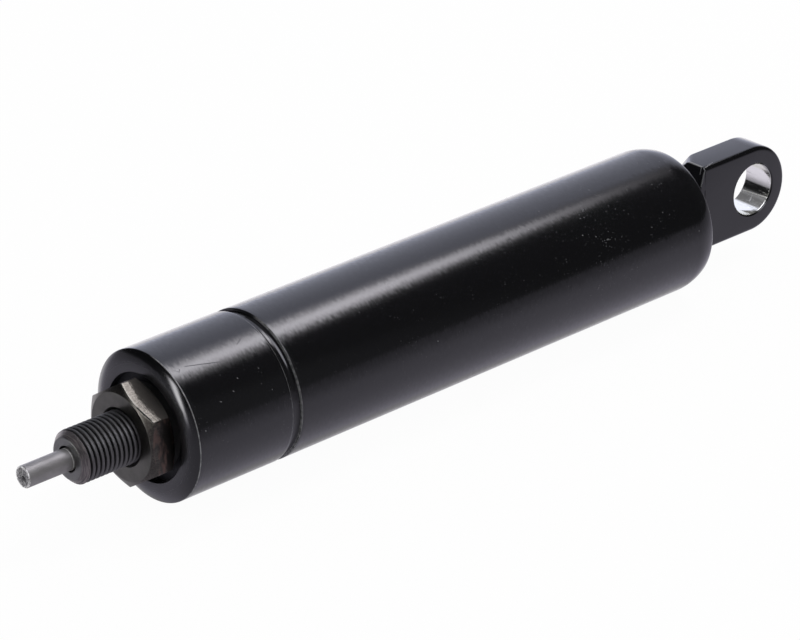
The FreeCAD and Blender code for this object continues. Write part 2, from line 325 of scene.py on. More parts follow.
class Graph:
    """The node tree of a material or of the surround."""

    def __init__(self, tree: bpy.types.NodeTree) -> None:
        """Starts from an empty tree."""
        self.tree = tree
        self.tree.nodes.clear()

    def node(self, kind: str, settings: dict[str, Any] | None = None, sockets: dict[str | int, Value] | None = None,
             output: str | int = 0) -> Signal:
        """Adds a node.

        Args:
            kind: The node's type.
            settings: Its properties.
            sockets: Values or links for its inputs, by name or number.
            output: The output that is wanted.

        Returns:
            That output, or the first input of a node that has no outputs.
        """
        made = self.tree.nodes.new(kind)
        for key, value in (settings or {}).items():
            setattr(made, key, value)
        for key, value in (sockets or {}).items():
            if isinstance(value, Signal):
                self.tree.links.new(value.socket, made.inputs[key])
            else:
                made.inputs[key].default_value = value
        return Signal(self, made.outputs[output]) if made.outputs else Signal(self, made.inputs[0])

    def maths(self, operation: str, *values: Signal | float) -> Signal:
        """Adds a Math node."""
        return self.node("ShaderNodeMath", {"operation": operation}, dict(enumerate(values)))

    def vector(self, operation: str, *values: Value, output: str = "Vector") -> Signal:
        """Adds a Vector Math node."""
        return self.node("ShaderNodeVectorMath", {"operation": operation}, dict(enumerate(values)), output)

    def mix(self, amount: Signal | float, first: Value, second: Value) -> Signal:
        """Blends two colours."""
        sides = [(*v, 1.0) if isinstance(v, tuple) else v for v in (first, second)]
        return self.node("ShaderNodeMix", {"data_type": "RGBA"}, {0: amount, 6: sides[0], 7: sides[1]}, 2)

    def fade(self, value: Signal, start: float, end: float) -> Signal:
        """Goes smoothly from nought at start to one at end."""
        return self.node("ShaderNodeMapRange", {"interpolation_type": "SMOOTHSTEP"}, {
            "Value": value, "From Min": start, "From Max": end, "To Min": 0.0, "To Max": 1.0})

    def fade_mm(self, value: Signal, start: float, end: float) -> Signal:
        """Goes smoothly from nought to one between two lengths in millimetres."""
        return self.fade(value, start * MM, end * MM)

    def place(self) -> Signal:
        """Gives the place on the piece, in metres."""
        return self.node("ShaderNodeTexCoord", output="Object")

    def axes(self, place: Signal) -> tuple[Signal, Signal, Signal]:
        """Splits a place into its three numbers."""
        split = self.node("ShaderNodeSeparateXYZ", sockets={0: place})
        return tuple(Signal(self, split.socket.node.outputs[i]) for i in range(3))

    def joined(self, x: Value, y: Value, z: Value) -> Signal:
        """Makes a vector of three numbers."""
        return self.node("ShaderNodeCombineXYZ", sockets={0: x, 1: y, 2: z})

    def length(self, x: Value, y: Value, z: Value) -> Signal:
        """Gives the length of a vector of three numbers."""
        return self.vector("LENGTH", self.joined(x, y, z), output="Value")

    def gap(self, place: Signal, point: Place) -> Signal:
        """Gives the distance to a point that is given in millimetres."""
        return self.vector("DISTANCE", place, tuple(v * MM for v in point), output="Value")

    def noise(self, place: Signal, size: float, detail: float = 2.0, rough: float = 0.5) -> Signal:
        """Gives soft noise whose lumps are about this many millimetres across."""
        return self.node("ShaderNodeTexNoise", {}, {
            "Vector": place, "Scale": 1.0 / (size * MM), "Detail": detail, "Roughness": rough}, "Fac")

    def specks(self, place: Signal, spacing: float, radius: float) -> Signal:
        """Gives one inside small round specks and nought outside, spaced in millimetres.

        Args:
            place: The place on the piece.
            spacing: How far apart the specks are.
            radius: How large they are.

        Returns:
            The specks.
        """
        away = self.node("ShaderNodeTexVoronoi", {"feature": "F1"}, {
            "Vector": place, "Scale": 1.0 / (spacing * MM), "Randomness": 1.0}, "Distance")
        return 1.0 - self.fade(away, 0.35 * radius / spacing, radius / spacing)

    def line(self, place: Signal, start: Place, end: Place, width: float) -> Signal:
        """Gives one on a straight mark between two places and nought beside it, all in millimetres.

        Args:
            place: The place on the piece.
            start: Where the mark starts.
            end: Where it ends.
            width: How far it reaches to each side.

        Returns:
            The mark.
        """
        a, b = Vector(start) * MM, Vector(end) * MM
        along = b - a
        off = self.vector("SUBTRACT", place, tuple(a))
        share = self.vector("DOT_PRODUCT", off, tuple(along / along.length_squared), output="Value")
        held = self.node("ShaderNodeClamp", sockets={"Value": share, "Min": 0.0, "Max": 1.0})
        foot = self.vector("MULTIPLY", self.joined(held, held, held), tuple(along))
        gap = self.vector("DISTANCE", off, foot, output="Value")
        return 1.0 - self.fade_mm(gap, 0.25 * width, width)

    def bump(self, height: Signal, depth: float, under: Signal | None = None) -> Signal:
        """Turns a height from nought to one into a surface this many millimetres deep.

        Args:
            height: The height over the surface.
            depth: The depth that a height of one has.
            under: The normal that it lies on, if not the mesh's own.

        Returns:
            The normal.
        """
        sockets: dict[str | int, Value] = {"Strength": 1.0, "Distance": depth * MM, "Height": height}
        if under is not None:
            sockets["Normal"] = under
        return self.node("ShaderNodeBump", {}, sockets)

    def lean(self, way: Signal, amount: Signal) -> Signal:
        """Tilts the surface along a direction, by an amount in radians.

        Args:
            way: The direction.
            amount: The angle at each place.

        Returns:
            The normal.
        """
        plain = self.node("ShaderNodeNewGeometry", output="Normal")
        step = self.vector("MULTIPLY", way, self.joined(amount, amount, amount))
        return self.vector("NORMALIZE", self.vector("ADD", plain, step))

    def surface(self, **sockets: Value) -> None:
        """Ends a material in its shader, with the sockets given as words joined by underscores.

        Args:
            sockets: Values or links for the shader's sockets.
        """
        values = {key.replace("_", " ").title().replace("Ior", "IOR"): value for key, value in sockets.items()}
        shader = self.node("ShaderNodeBsdfPrincipled", {}, values)
        self.node("ShaderNodeOutputMaterial", {}, {"Surface": shader})


def shade(colour: Colour, amount: float) -> Colour:
    """Gives a colour made darker or lighter."""
    return tuple(amount * c for c in colour)


class Finish:
    """A finish that can dress pieces."""

    name: str

    def paint(self, graph: Graph) -> None:
        """Fills a material's graph."""
        raise NotImplementedError

    def material(self) -> bpy.types.Material:
        """Makes the material, or gives the one that was made before.

        Returns:
            The material.
        """
        name = f"{self.name}_finish"
        found = bpy.data.materials.get(name)
        if found:
            return found
        made = bpy.data.materials.new(name)
        made.use_nodes = True
        self.paint(Graph(made.node_tree))
        return made

    def dress(self, piece: bpy.types.Object) -> None:
        """Puts the finish on a whole piece."""
        piece.data.materials.clear()
        piece.data.materials.append(self.material())


@dataclass(frozen=True)
class Mark:
    """A fine scratch, fleck or painted highlight line between two places on the surface.

    In paint, a tone above nought is lighter than the paint and one below nought is a groove.
    """

    start: Place
    end: Place
    width: float
    tone: float

    def on(self, graph: Graph, place: Signal) -> Signal:
        """Gives one on the mark and nought beside it."""
        return graph.line(place, self.start, self.end, self.width)


@dataclass(frozen=True)
class Ring:
    """A painted highlight line round the tube, along an edge that catches the light."""

    x: float
    width: float
    tone: float


@dataclass(frozen=True)
class GlossPaint(Finish):
    """Gloss black paint over drawn steel, with a fine grain round the tube, a little dust and painted highlight lines.
    """

    name: str = "tube_paint"
    colour: Colour = (0.0042, 0.0042, 0.0048)
    dust_colour: Colour = (0.16, 0.16, 0.17)
    roughness: float = 0.12
    grain_lean: float = 0.2
    dust: float = 1.0
    peel_depth: float = 0.0014
    fleck_and_highlight_colour: Colour = (0.3, 0.3, 0.31)
    tube_r: float = 14.0
    lip_x: float = 146.0
    clean_x: tuple[float, float] = (58.0, 80.0)
    marks: tuple[Mark, ...] = ()
    rings: tuple[Ring, ...] = ()
    smudge: Place = (47.4, 11.8, 7.53)

    def layers(self, graph: Graph, place: Signal) -> tuple[Signal, Signal, Signal]:
        """Builds the paint's colour, roughness and normal.

        Args:
            graph: The material's graph.
            place: The place on the piece.

        Returns:
            Colour, roughness and normal.
        """
        x, y, z = graph.axes(place)
        away = graph.length(0.0, y, z)
        turn = graph.maths("ARCTAN2", z, y) * (self.tube_r * MM)
        grain = graph.noise(graph.joined(x, turn * 0.16, 0.0), 0.23, 2.0, 0.6) - 0.5
        peel = graph.noise(place, 1.7, 1.0)
        cloud = graph.noise(place, 14.0, 3.0)
        rub = graph.noise(place, 0.9, 3.0, 0.6)
        plain = (0.4 + cloud) * (1.0 - graph.fade_mm(x, self.lip_x - 0.4, self.lip_x))
        round_way = graph.vector("NORMALIZE", graph.joined(0.0, 0.0 - z, y))
        normal = graph.bump(peel, self.peel_depth, graph.lean(round_way, grain * plain * self.grain_lean))
        clumps = graph.fade(graph.noise(place, 3.0, 2.0), 0.44, 0.66)
        near = 1.0 - graph.fade_mm(graph.gap(place, self.smudge), 0.4, 2.6)
        dust = graph.specks(place, 6.0, 0.18) * graph.fade(cloud, 0.46, 0.6) * self.dust
        some = graph.fade(graph.noise(place, 0.6, 1.0), 0.46, 0.72) * self.dust
        fine = graph.specks(place, 0.5, 0.16) * clumps * some * (0.5 - 0.25 * graph.fade_mm(x, *self.clean_x))
        scatter = graph.specks(place, 0.55, 0.16) * near * 0.6
        flecks = graph.maths("MAXIMUM", graph.maths("MAXIMUM", dust * 0.5, fine), scatter)
        colour = graph.mix(flecks, self.colour, self.dust_colour)
        within = 1.0 - graph.fade_mm(away, self.tube_r - 2.5, self.tube_r - 1.5)
        lip = graph.fade_mm(x, self.lip_x, self.lip_x + 0.4) * within
        rough = self.roughness + 0.03 * cloud + 0.3 * flecks + 0.16 * lip
        outside = graph.fade_mm(away, self.tube_r - 0.7, self.tube_r - 0.4)
        # Painted highlight: the rings are lightened only on the +Y side, where their edges catch the light.
        wear_and_highlight = outside * graph.fade_mm(y, 0.5, 3.5) * (0.4 + 0.6 * graph.fade(rub, 0.36, 0.6))
        for ring in self.rings:
            line = wear_and_highlight * (1.0 - graph.fade_mm(abs(x - ring.x * MM), 0.25 * ring.width, ring.width))
            colour = graph.mix(line * ring.tone, colour, self.fleck_and_highlight_colour)
            rough = rough + 0.15 * line
        # A mark of positive tone is a light fleck, and on the eye it is a painted highlight along an edge.
        for mark in self.marks:
            stroke = mark.on(graph, place)
            if mark.tone > 0:
                colour = graph.mix(stroke * mark.tone, colour, self.fleck_and_highlight_colour)
                rough = rough + 0.25 * stroke
            else:
                normal = graph.bump(1.0 - stroke, -0.03 * mark.tone, normal)
        return colour, rough, normal

    def paint(self, graph: Graph) -> None:
        """Fills the paint's graph."""
        colour, rough, normal = self.layers(graph, graph.place())
        graph.surface(base_color=colour, roughness=rough, normal=normal, ior=1.5)


@dataclass(frozen=True)
class LugPaint(GlossPaint):
    """The same paint on the eye, with the bore reamed to bare steel."""

    name: str = "lug_paint"
    bore_dia: float = 10.2
    bare_colour: Colour = (0.95, 0.95, 0.885)
    scuffed: Colour = (0.5, 0.5, 0.5)
    chattered: Colour = (0.3, 0.3, 0.3)
    darker_metal: Colour = (0.22, 0.22, 0.24)
    darker_y: tuple[float, float] = (1.7, 3.3)
    darker_z: tuple[float, float] = (0.8, 2.6)
    lip_x: float = 200.0
    grain_lean: float = 0.0
    dust: float = 0.15
    scores: tuple[Mark, ...] = (
        Mark((-3.9, -2.87, -3.28), (-3.96, -1.56, -3.22), 0.22, 0.45),
        Mark((-3.96, -1.56, -3.22), (-4.15, 3.5, -2.97), 0.2, 0.4),
        Mark((-3.92, -0.4, -3.27), (-3.4, -0.2, -3.8), 0.16, 0.45),
        Mark((-3.4, -0.2, -3.8), (-2.78, 0.0, -4.27), 0.16, 0.35))

    def paint(self, graph: Graph) -> None:
        """Fills the graph, with the bare bore inside the paint's edge.

        Args:
            graph: The material's graph.
        """
        place = graph.place()
        colour, rough, normal = self.layers(graph, place)
        x, y, z = graph.axes(place)
        away = graph.length(x, 0.0, z)
        ragged = away + (graph.noise(place, 0.8) - 0.5) * (0.04 * MM)
        edge = self.bore_dia / 2
        bare = 1.0 - graph.fade_mm(ragged, edge + 0.02, edge + 0.08)
        turn = graph.maths("ARCTAN2", z, x) * (edge * MM)
        lines = graph.noise(graph.joined(y, turn * 0.05, 0.0), 0.22, 4.0, 0.65)
        scuffs = graph.noise(graph.joined(y * 0.5, turn, 0.0), 1.4, 4.0, 0.7)
        chatter = graph.noise(graph.joined(y * 0.12, turn, 0.0), 0.5, 3.0, 0.7)
        metal = graph.mix(graph.fade(scuffs, 0.5, 0.75) * 0.2, self.bare_colour, self.scuffed)
        metal = graph.mix(graph.fade(chatter, 0.6, 0.68) * 0.25, metal, self.chattered)
        # Darker metal towards the bore's +Y edge, on its upper part.
        darker_top = graph.fade_mm(y + (scuffs - 0.5) * (2.0 * MM), *self.darker_y) * graph.fade_mm(z, *self.darker_z)
        metal = graph.mix(darker_top * 0.75, metal, self.darker_metal)
        shine = 0.06 + 0.12 * lines + 0.12 * graph.fade(chatter, 0.5, 0.62)
        for score in self.scores:
            shine = shine + score.on(graph, place) * score.tone
        graph.surface(
            base_color=graph.mix(bare, colour, metal),
            metallic=bare,
            roughness=rough * (1.0 - bare) + shine * bare,
            normal=graph.bump(lines * bare, 0.003, normal),
            ior=1.5)


@dataclass(frozen=True)
class BlackOxide(Finish):
    """Blackened steel: a paler faced front, brown flats with a painted highlight band in front of painted shade, and
    fine scores where a spanner has gripped two of them.
    """

    name: str = "nut_steel"
    face: Colour = (0.097, 0.096, 0.083)
    flat: Colour = (0.025, 0.023, 0.02)
    flat_front_highlight: Colour = (0.074, 0.069, 0.06)
    red: Colour = (0.125, 0.085, 0.07)
    wear_and_highlight: Colour = (0.17, 0.165, 0.145)
    scratched: Colour = (0.004, 0.004, 0.004)
    face_x: float = 152.0
    face_dia: float = 16.2
    chamfer_angle: float = 30.0
    worn_flat: float = 63.3
    flat_r: float = 8.5
    scratches: tuple[Mark, ...] = (
        Mark((151.72, 4.6, 7.2), (151.53, 6.1, 6.45), 0.22, 1.0),
        Mark((151.53, 6.1, 6.45), (151.18, 7.5, 5.75), 0.22, 1.0))

    def paint(self, graph: Graph) -> None:
        """Fills the nut's graph.

        Args:
            graph: The material's graph.
        """
        place = graph.place()
        x, y, z = graph.axes(place)
        away = graph.length(0.0, y, z)
        turn = graph.maths("ARCTAN2", z, y)
        rise = math.tan(math.radians(self.chamfer_angle))
        behind = self.face_x * MM - (away - self.face_dia / 2 * MM) * rise - x
        side = graph.fade_mm(behind, 0.01, 0.1) * graph.fade_mm(away, self.flat_r - 0.2, self.flat_r - 0.05)
        front = graph.fade_mm(x, self.face_x - 0.06, self.face_x - 0.02)
        flat = math.radians(self.worn_flat)
        across = (y * math.cos(flat) + z * math.sin(flat)) / away
        gripped = graph.fade(abs(across), 0.85, 0.88)
        rub = graph.noise(graph.joined(x * 0.5, turn * (9 * MM), away), 0.35, 4.0, 0.75)
        nicks = graph.noise(graph.joined(x * 2.0, turn * (4 * MM), away), 0.45, 4.0, 0.7)
        cloud = graph.noise(place, 3.0, 3.0)
        # Lighter edges and corner lines on the gripped flats: spanner wear, partly painted highlight.
        edge = (1.0 - graph.fade_mm(behind + (nicks - 0.5) * (0.5 * MM), 0.12, 0.45)) * side * gripped
        nicked = graph.fade(nicks, 0.56, 0.66) * side * gripped * (1.0 - graph.fade_mm(behind, 0.6, 1.8))
        brown = graph.noise(graph.joined(x, turn * (2.5 * MM), away * 0.3), 1.1, 3.0)
        rust = graph.fade(brown, 0.47, 0.66) * side * (1.0 - gripped)
        # Painted light: each flat is light along its front edge as a painted reflection and dark behind as painted
        # shade, more sharply on the gripped flats.
        soft = 1.0 - graph.fade_mm(behind + (nicks - 0.5) * (2.6 * MM), 0.4, 2.5)
        sharp = 1.0 - graph.fade_mm(behind + (nicks - 0.5) * (3.2 * MM), 1.2, 2.0)
        band = soft * (1.0 - gripped) + sharp * gripped
        lip = graph.fade_mm(abs(across) * away, self.flat_r - 0.34, self.flat_r - 0.2) * (1.0 - side)
        lip = lip * gripped * graph.fade(nicks, 0.36, 0.5)
        edge_wear_and_highlight = graph.maths("MAXIMUM", graph.maths("MAXIMUM", edge, nicked) * 0.35, lip * 0.8)
        cut = 0.0
        for scratch in self.scratches:
            cut = cut + scratch.on(graph, place) * scratch.tone
        cut = graph.maths("MINIMUM", cut, 1.0)
        # The colour of the painted highlight band on the flats' front edges.
        bright = graph.mix(graph.fade(rub, 0.38, 0.62), shade(self.flat_front_highlight, 0.7), shade(self.flat_front_highlight, 1.25))
        base = graph.mix(front, graph.mix(band, self.flat, bright), self.face)
        base = graph.mix(graph.fade(cloud, 0.42, 0.7) * 0.3, base, shade(self.flat, 1.2))
        base = graph.mix(rust * 0.8, base, self.red)
        pits = graph.noise(place, 0.2, 3.0, 0.6)
        graph.surface(
            base_color=graph.mix(cut, graph.mix(edge_wear_and_highlight, base, self.wear_and_highlight), self.scratched),
            metallic=1.0,
            roughness=0.25 + 0.1 * cloud + 0.06 * edge_wear_and_highlight + gripped * side * (0.12 - 0.26 * band + 0.16 * rub),
            normal=graph.bump(pits, 0.004, graph.bump(nicks * side, 0.03)))


@dataclass(frozen=True)
class ThreadSteel(Finish):
    """Blackened rod steel: ground on the plain length; in the thread, painted shade in the roots, on the upper side and
    in the mouth, and crests lighter from wear and painted highlight.
    """

    name: str = "rod_steel"
    ground: Colour = (0.34, 0.34, 0.355)
    # The colour of the painted shade in the thread's roots.
    root: Colour = (0.035, 0.034, 0.034)
    flank: Colour = (0.08, 0.078, 0.077)
    crest: Colour = (0.13, 0.128, 0.126)
    upper_shade: Colour = (0.055, 0.054, 0.053)
    face: Colour = (0.165, 0.168, 0.158)
    face_dull: Colour = (0.1, 0.1, 0.098)
    brushed: Colour = (0.25, 0.225, 0.215)
    brushed_dark: Colour = (0.12, 0.113, 0.11)
    # The colour of the painted shade inside the rod's mouth.
    inside: Colour = (0.02, 0.02, 0.022)
    crest_r: float = 4.92
    mouth_r: float = 2.35
    upper_shade_z: tuple[float, float] = (2.8, 4.3)
    thread_x: float = 146.8
    nose_x: float = 163.6

    def paint(self, graph: Graph) -> None:
        """Fills the rod's graph.

        Args:
            graph: The material's graph.
        """
        place = graph.place()
        x, y, z = graph.axes(place)
        away = graph.length(0.0, y, z)
        turn = graph.maths("ARCTAN2", z, y) * (self.crest_r * MM)
        threaded = graph.fade_mm(x, self.thread_x - 0.1, self.thread_x)
        grind = graph.noise(graph.joined(x, turn * 0.04, 0.0), 0.12, 3.0, 0.6)
        rub = graph.noise(graph.joined(x, turn, away), 0.45, 4.0, 0.7)
        # Painted shade: the thread darkens from its crests down to its roots; the crests are also lighter from wear and
        # painted highlight.
        flank = graph.mix(graph.fade_mm(away, self.crest_r - 0.47, self.crest_r - 0.32), self.root, self.flank)
        on_crest = graph.fade_mm(away, self.crest_r - 0.22, self.crest_r - 0.12)
        on_nose = graph.fade_mm(x + away, self.nose_x + self.crest_r - 1.22, self.nose_x + self.crest_r - 1.14)
        on_face = graph.fade_mm(x, self.nose_x - 0.1, self.nose_x - 0.03)
        strokes = graph.noise(graph.joined(x * 1.5, turn * 0.12, away * 1.5), 0.3, 4.0, 0.7)
        nose = graph.mix(graph.fade(strokes, 0.38, 0.66), self.brushed_dark, self.brushed)
        nose = graph.mix(on_face, nose, graph.mix(graph.fade(rub, 0.4, 0.7) * 0.4, self.face, self.face_dull))
        # Painted shade: the crests darker on the thread's upper side.
        crest = graph.mix(graph.fade_mm(z, *self.upper_shade_z), self.crest, self.upper_shade)
        thread = graph.mix(graph.maths("MAXIMUM", on_nose, on_face), graph.mix(on_crest, flank, crest), nose)
        # Painted shade inside the rod's mouth.
        mouth_shade = 1.0 - graph.fade_mm(away, self.mouth_r + 0.02, self.mouth_r + 0.1)
        thread = graph.mix(mouth_shade, thread, self.inside)
        graph.surface(
            base_color=graph.mix(threaded, self.ground, thread),
            metallic=1.0,
            roughness=0.2 + 0.12 * grind + threaded * (0.1 + 0.12 * rub + 0.2 * on_crest),
            normal=graph.bump(rub * threaded, 0.006, graph.bump(grind, 0.0012)))


@dataclass(frozen=True)
class PinSteel(Finish):
    """Bare drawn steel with fine lines along it, and a broken, speckled tip."""

    name: str = "pin_steel"
    colour: Colour = (0.225, 0.218, 0.216)
    dull: Colour = (0.185, 0.178, 0.177)
    bright: Colour = (0.8, 0.8, 0.77)
    torn_dark: Colour = (0.1, 0.1, 0.098)
    torn_light: Colour = (0.4, 0.4, 0.39)
    # The colour of the painted shade in the tip's hollow.
    hollow: Colour = (0.02, 0.02, 0.02)
    r: float = 2.0
    tip_x: float = 173.0
    pit_shade_at: Place = (173.0, 0.25, -0.15)
    ring_x: float = 163.75

    def paint(self, graph: Graph) -> None:
        """Fills the pin's graph.

        Args:
            graph: The material's graph.
        """
        place = graph.place()
        x, y, z = graph.axes(place)
        turn = graph.maths("ARCTAN2", z, y) * (self.r * MM)
        away = graph.length(0.0, y, z)
        drawn = graph.noise(graph.joined(x * 0.05, turn, 0.0), 0.16, 3.0, 0.6)
        cloud = graph.noise(graph.joined(x * 0.5, y, z), 1.2, 3.0)
        tip = graph.fade_mm(x, self.tip_x - 0.22, self.tip_x - 0.1)
        crumbs = graph.noise(place, 0.3, 4.0, 0.7)
        edge = graph.fade_mm(away, self.r - 0.55, self.r - 0.15)
        # Painted shade: a dark spot on the tip stands for the shade in a hollow.
        pit_shade = 1.0 - graph.fade_mm(graph.gap(place, self.pit_shade_at), 0.3, 0.7)
        torn = graph.mix(graph.fade(crumbs, 0.4, 0.62), self.torn_dark, self.torn_light)
        torn = graph.mix(edge * graph.fade(crumbs, 0.38, 0.52), torn, self.bright)
        torn = graph.mix(pit_shade * 0.85, torn, self.hollow)
        body = graph.mix(graph.fade(cloud, 0.35, 0.65), self.colour, self.dull)
        ring = 1.0 - graph.fade_mm(abs(x - self.ring_x * MM), 0.03, 0.14)
        body = graph.mix(ring * 0.8, body, self.bright)
        graph.surface(
            base_color=graph.mix(tip, body, torn),
            metallic=0.5,
            roughness=0.4 + 0.12 * drawn,
            normal=graph.bump(crumbs * tip, 0.03, graph.bump(drawn, 0.0015)))


@dataclass(frozen=True)
class TurnedMetal(Finish):
    """A bright metal with fine turning lines round the axis."""

    name: str = "plain_steel"
    colour: Colour = (0.5, 0.5, 0.52)
    roughness: float = 0.24
    pitch: float = 0.16

    def paint(self, graph: Graph) -> None:
        """Fills the metal's graph.

        Args:
            graph: The material's graph.
        """
        place = graph.place()
        x, y, z = graph.axes(place)
        away = graph.length(0.0, y, z)
        lines = graph.noise(graph.joined(x, away, 0.0), self.pitch, 3.0, 0.6)
        cloud = graph.noise(place, 5.0, 3.0)
        graph.surface(
            base_color=graph.mix(graph.fade(cloud, 0.35, 0.7), self.colour, shade(self.colour, 0.72)),
            metallic=1.0,
            roughness=self.roughness + 0.12 * lines + 0.06 * cloud,
            normal=graph.bump(lines, 0.003))


@dataclass(frozen=True)
class PorousBronze(Finish):
    """Sintered bronze with open pores."""

    name: str = "bearing_bronze"
    colour: Colour = (0.52, 0.34, 0.16)
    dark: Colour = (0.4, 0.24, 0.11)
    pore_shade: Colour = (0.08, 0.05, 0.03)

    def paint(self, graph: Graph) -> None:
        """Fills the bronze's graph.

        Args:
            graph: The material's graph.
        """
        place = graph.place()
        # The pores are coloured dark: painted shade in their hollows.
        pores = graph.specks(place, 0.4, 0.12)
        cloud = graph.noise(place, 2.0, 3.0)
        graph.surface(
            base_color=graph.mix(pores, graph.mix(cloud, self.colour, self.dark), self.pore_shade),
            metallic=1.0 - pores,
            roughness=0.3 + 0.2 * cloud + 0.3 * pores,
            normal=graph.bump(1.0 - pores, 0.02))


@dataclass(frozen=True)
class Moulded(Finish):
    """Rubber or sliding plastic with a fine moulded skin."""

    name: str = "seal_rubber"
    colour: Colour = (0.012, 0.012, 0.012)
    roughness: float = 0.5
    skin: float = 0.25

    def paint(self, graph: Graph) -> None:
        """Fills the moulding's graph.

        Args:
            graph: The material's graph.
        """
        place = graph.place()
        skin = graph.noise(place, self.skin, 4.0, 0.6)
        cloud = graph.noise(place, 3.5, 2.0)
        light = tuple(min(1.0, 1.7 * c + 0.004) for c in self.colour)
        graph.surface(
            base_color=graph.mix(graph.fade(cloud, 0.3, 0.75), self.colour, light),
            roughness=self.roughness + 0.12 * skin,
            normal=graph.bump(skin, 0.006))


@dataclass
class Barrel:
    """The painted pressure tube with its crowned end, rolled groove and lip."""

    dia: float = 28.0
    wall: float = 1.5
    closed_x: float = 20.7
    crown: float = 10.0
    crown_angle: float = 22.0
    end_corner: float = 1.2
    groove_x: float = 124.15
    groove_width: float = 1.8
    groove_depth: float = 0.95
    groove_corners: tuple[float, float] = (0.74, 0.5)
    groove_edges: tuple[float, float] = (0.16, 0.2)
    groove_lean: float = 0.06
    groove_land: float = 0.8
    rim_x: float = 145.97
    mouth_x: float = 147.0
    mouth_dia: float = 20.0
    rim_land: float = 1.0
    rim_edge: float = 0.1
    lip_land: float = 0.4
    lip_edge: float = 0.15
    inner_corner: float = 3.0
    finish: GlossPaint = GlossPaint(
        marks=(
            Mark((142.58, 6.35, 12.47), (136.08, 7.8, 11.62), 0.08, -0.9),
            Mark((130.9, 6.12, 12.59), (129.36, 5.33, 12.95), 0.08, -0.9),
            Mark((144.9, 6.3, 12.5), (144.3, 6.9, 12.18), 0.06, -0.6),
            Mark((144.3, 6.9, 12.18), (143.9, 6.5, 12.4), 0.06, -0.6),
            Mark((134.74, 10.62, 9.12), (134.7, 10.68, 9.05), 0.12, 0.5),
            Mark((136.63, 11.69, 7.7), (136.5, 11.75, 7.6), 0.14, 0.35),
            Mark((128.93, 12.78, 5.71), (128.9, 12.8, 5.66), 0.12, 0.35),
            Mark((139.9, 12.13, 6.98), (139.6, 12.2, 6.86), 0.12, 0.35),
            Mark((144.4, 13.53, 3.58), (144.3, 13.55, 3.5), 0.13, 0.5),
            Mark((44.84, 8.33, 11.25), (44.8, 8.4, 11.2), 0.3, -0.8),
            Mark((47.5, 11.8, 7.53), (47.25, 11.86, 7.44), 0.2, 0.3),
            Mark((52.51, 10.32, 9.46), (52.45, 10.36, 9.42), 0.17, 0.45),
            Mark((49.87, 11.06, 8.58), (49.8, 11.1, 8.53), 0.18, 0.22),
            Mark((36.69, 12.29, 6.7), (36.6, 12.33, 6.63), 0.18, 0.14),
            Mark((32.89, 11.36, 8.18), (32.8, 11.4, 8.12), 0.14, 0.2),
            Mark((25.5, 13.7, 2.86), (25.4, 13.71, 2.8), 0.2, 0.2),
            Mark((91.51, 13.77, 2.52), (91.4, 13.78, 2.45), 0.14, 0.4),
        ),
        # Painted highlight lines along the rim's edge and both edges of the groove.
        rings=(Ring(145.95, 0.12, 0.7), Ring(125.0, 0.14, 0.9), Ring(125.45, 0.08, 0.3), Ring(123.25, 0.12, 0.6)))

    def outline(self) -> list[Corner]:
        """Gives the tube's half section, from the closed end's middle round to its inside.

        Returns:
            The half section's corners.
        """
        r, half = self.dia / 2, self.groove_width / 2
        bore, bottom, mouth = r - self.wall, r - self.groove_depth, self.mouth_dia / 2
        guide = self.mouth_x - self.wall
        lean = math.radians(self.crown_angle)
        inner = self.crown - self.end_corner
        corner_x, flat_r = self.closed_x + self.end_corner, r - self.crown + inner * math.cos(lean)
        lip, back = mouth + self.lip_land, self.mouth_x - self.rim_x
        roll = ((r - lip) ** 2 + back ** 2) / (2 * back)
        rim = Corner.bow(self.mouth_x - roll, lip, roll, math.degrees(math.asin((roll - back) / roll)), 90, 14)
        return [
            Corner(self.closed_x, 0),
            *Corner.bow(corner_x, flat_r, self.end_corner, -90, -self.crown_angle, 8),
            *Corner.bow(corner_x + inner * math.sin(lean), r - self.crown, self.crown, -self.crown_angle, 0, 10)[1:],
            Corner(self.groove_x - half - self.groove_land, r),
            Corner(self.groove_x - half, r, self.groove_edges[0], 4),
            Corner(self.groove_x - half + self.groove_lean, bottom, self.groove_corners[0], 8),
            Corner(self.groove_x + half - self.groove_lean, bottom, self.groove_corners[1], 6),
            Corner(self.groove_x + half, r, self.groove_edges[1], 4),
            Corner(self.groove_x + half + self.groove_land, r),
            Corner(self.rim_x - self.rim_land, r),
            Corner(self.rim_x, r, self.rim_edge, 4),
            *rim[1:],
            Corner(self.mouth_x, mouth, self.lip_edge, 4),
            Corner(guide, mouth),
            Corner(guide, bore),
            Corner(self.closed_x + self.wall, bore, self.inner_corner, 8),
            Corner(self.closed_x + self.wall, 0),
        ]

    def build(self) -> list[bpy.types.Object]:
        """Turns and paints the tube.

        Returns:
            The pieces made.
        """
        tube = Bench.turn("tube_skin", self.outline(), 256)
        Bench.smooth(tube, 16)
        self.finish.dress(tube)
        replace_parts(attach(tube, "barrel"), "pressure_tube")
        return [tube]


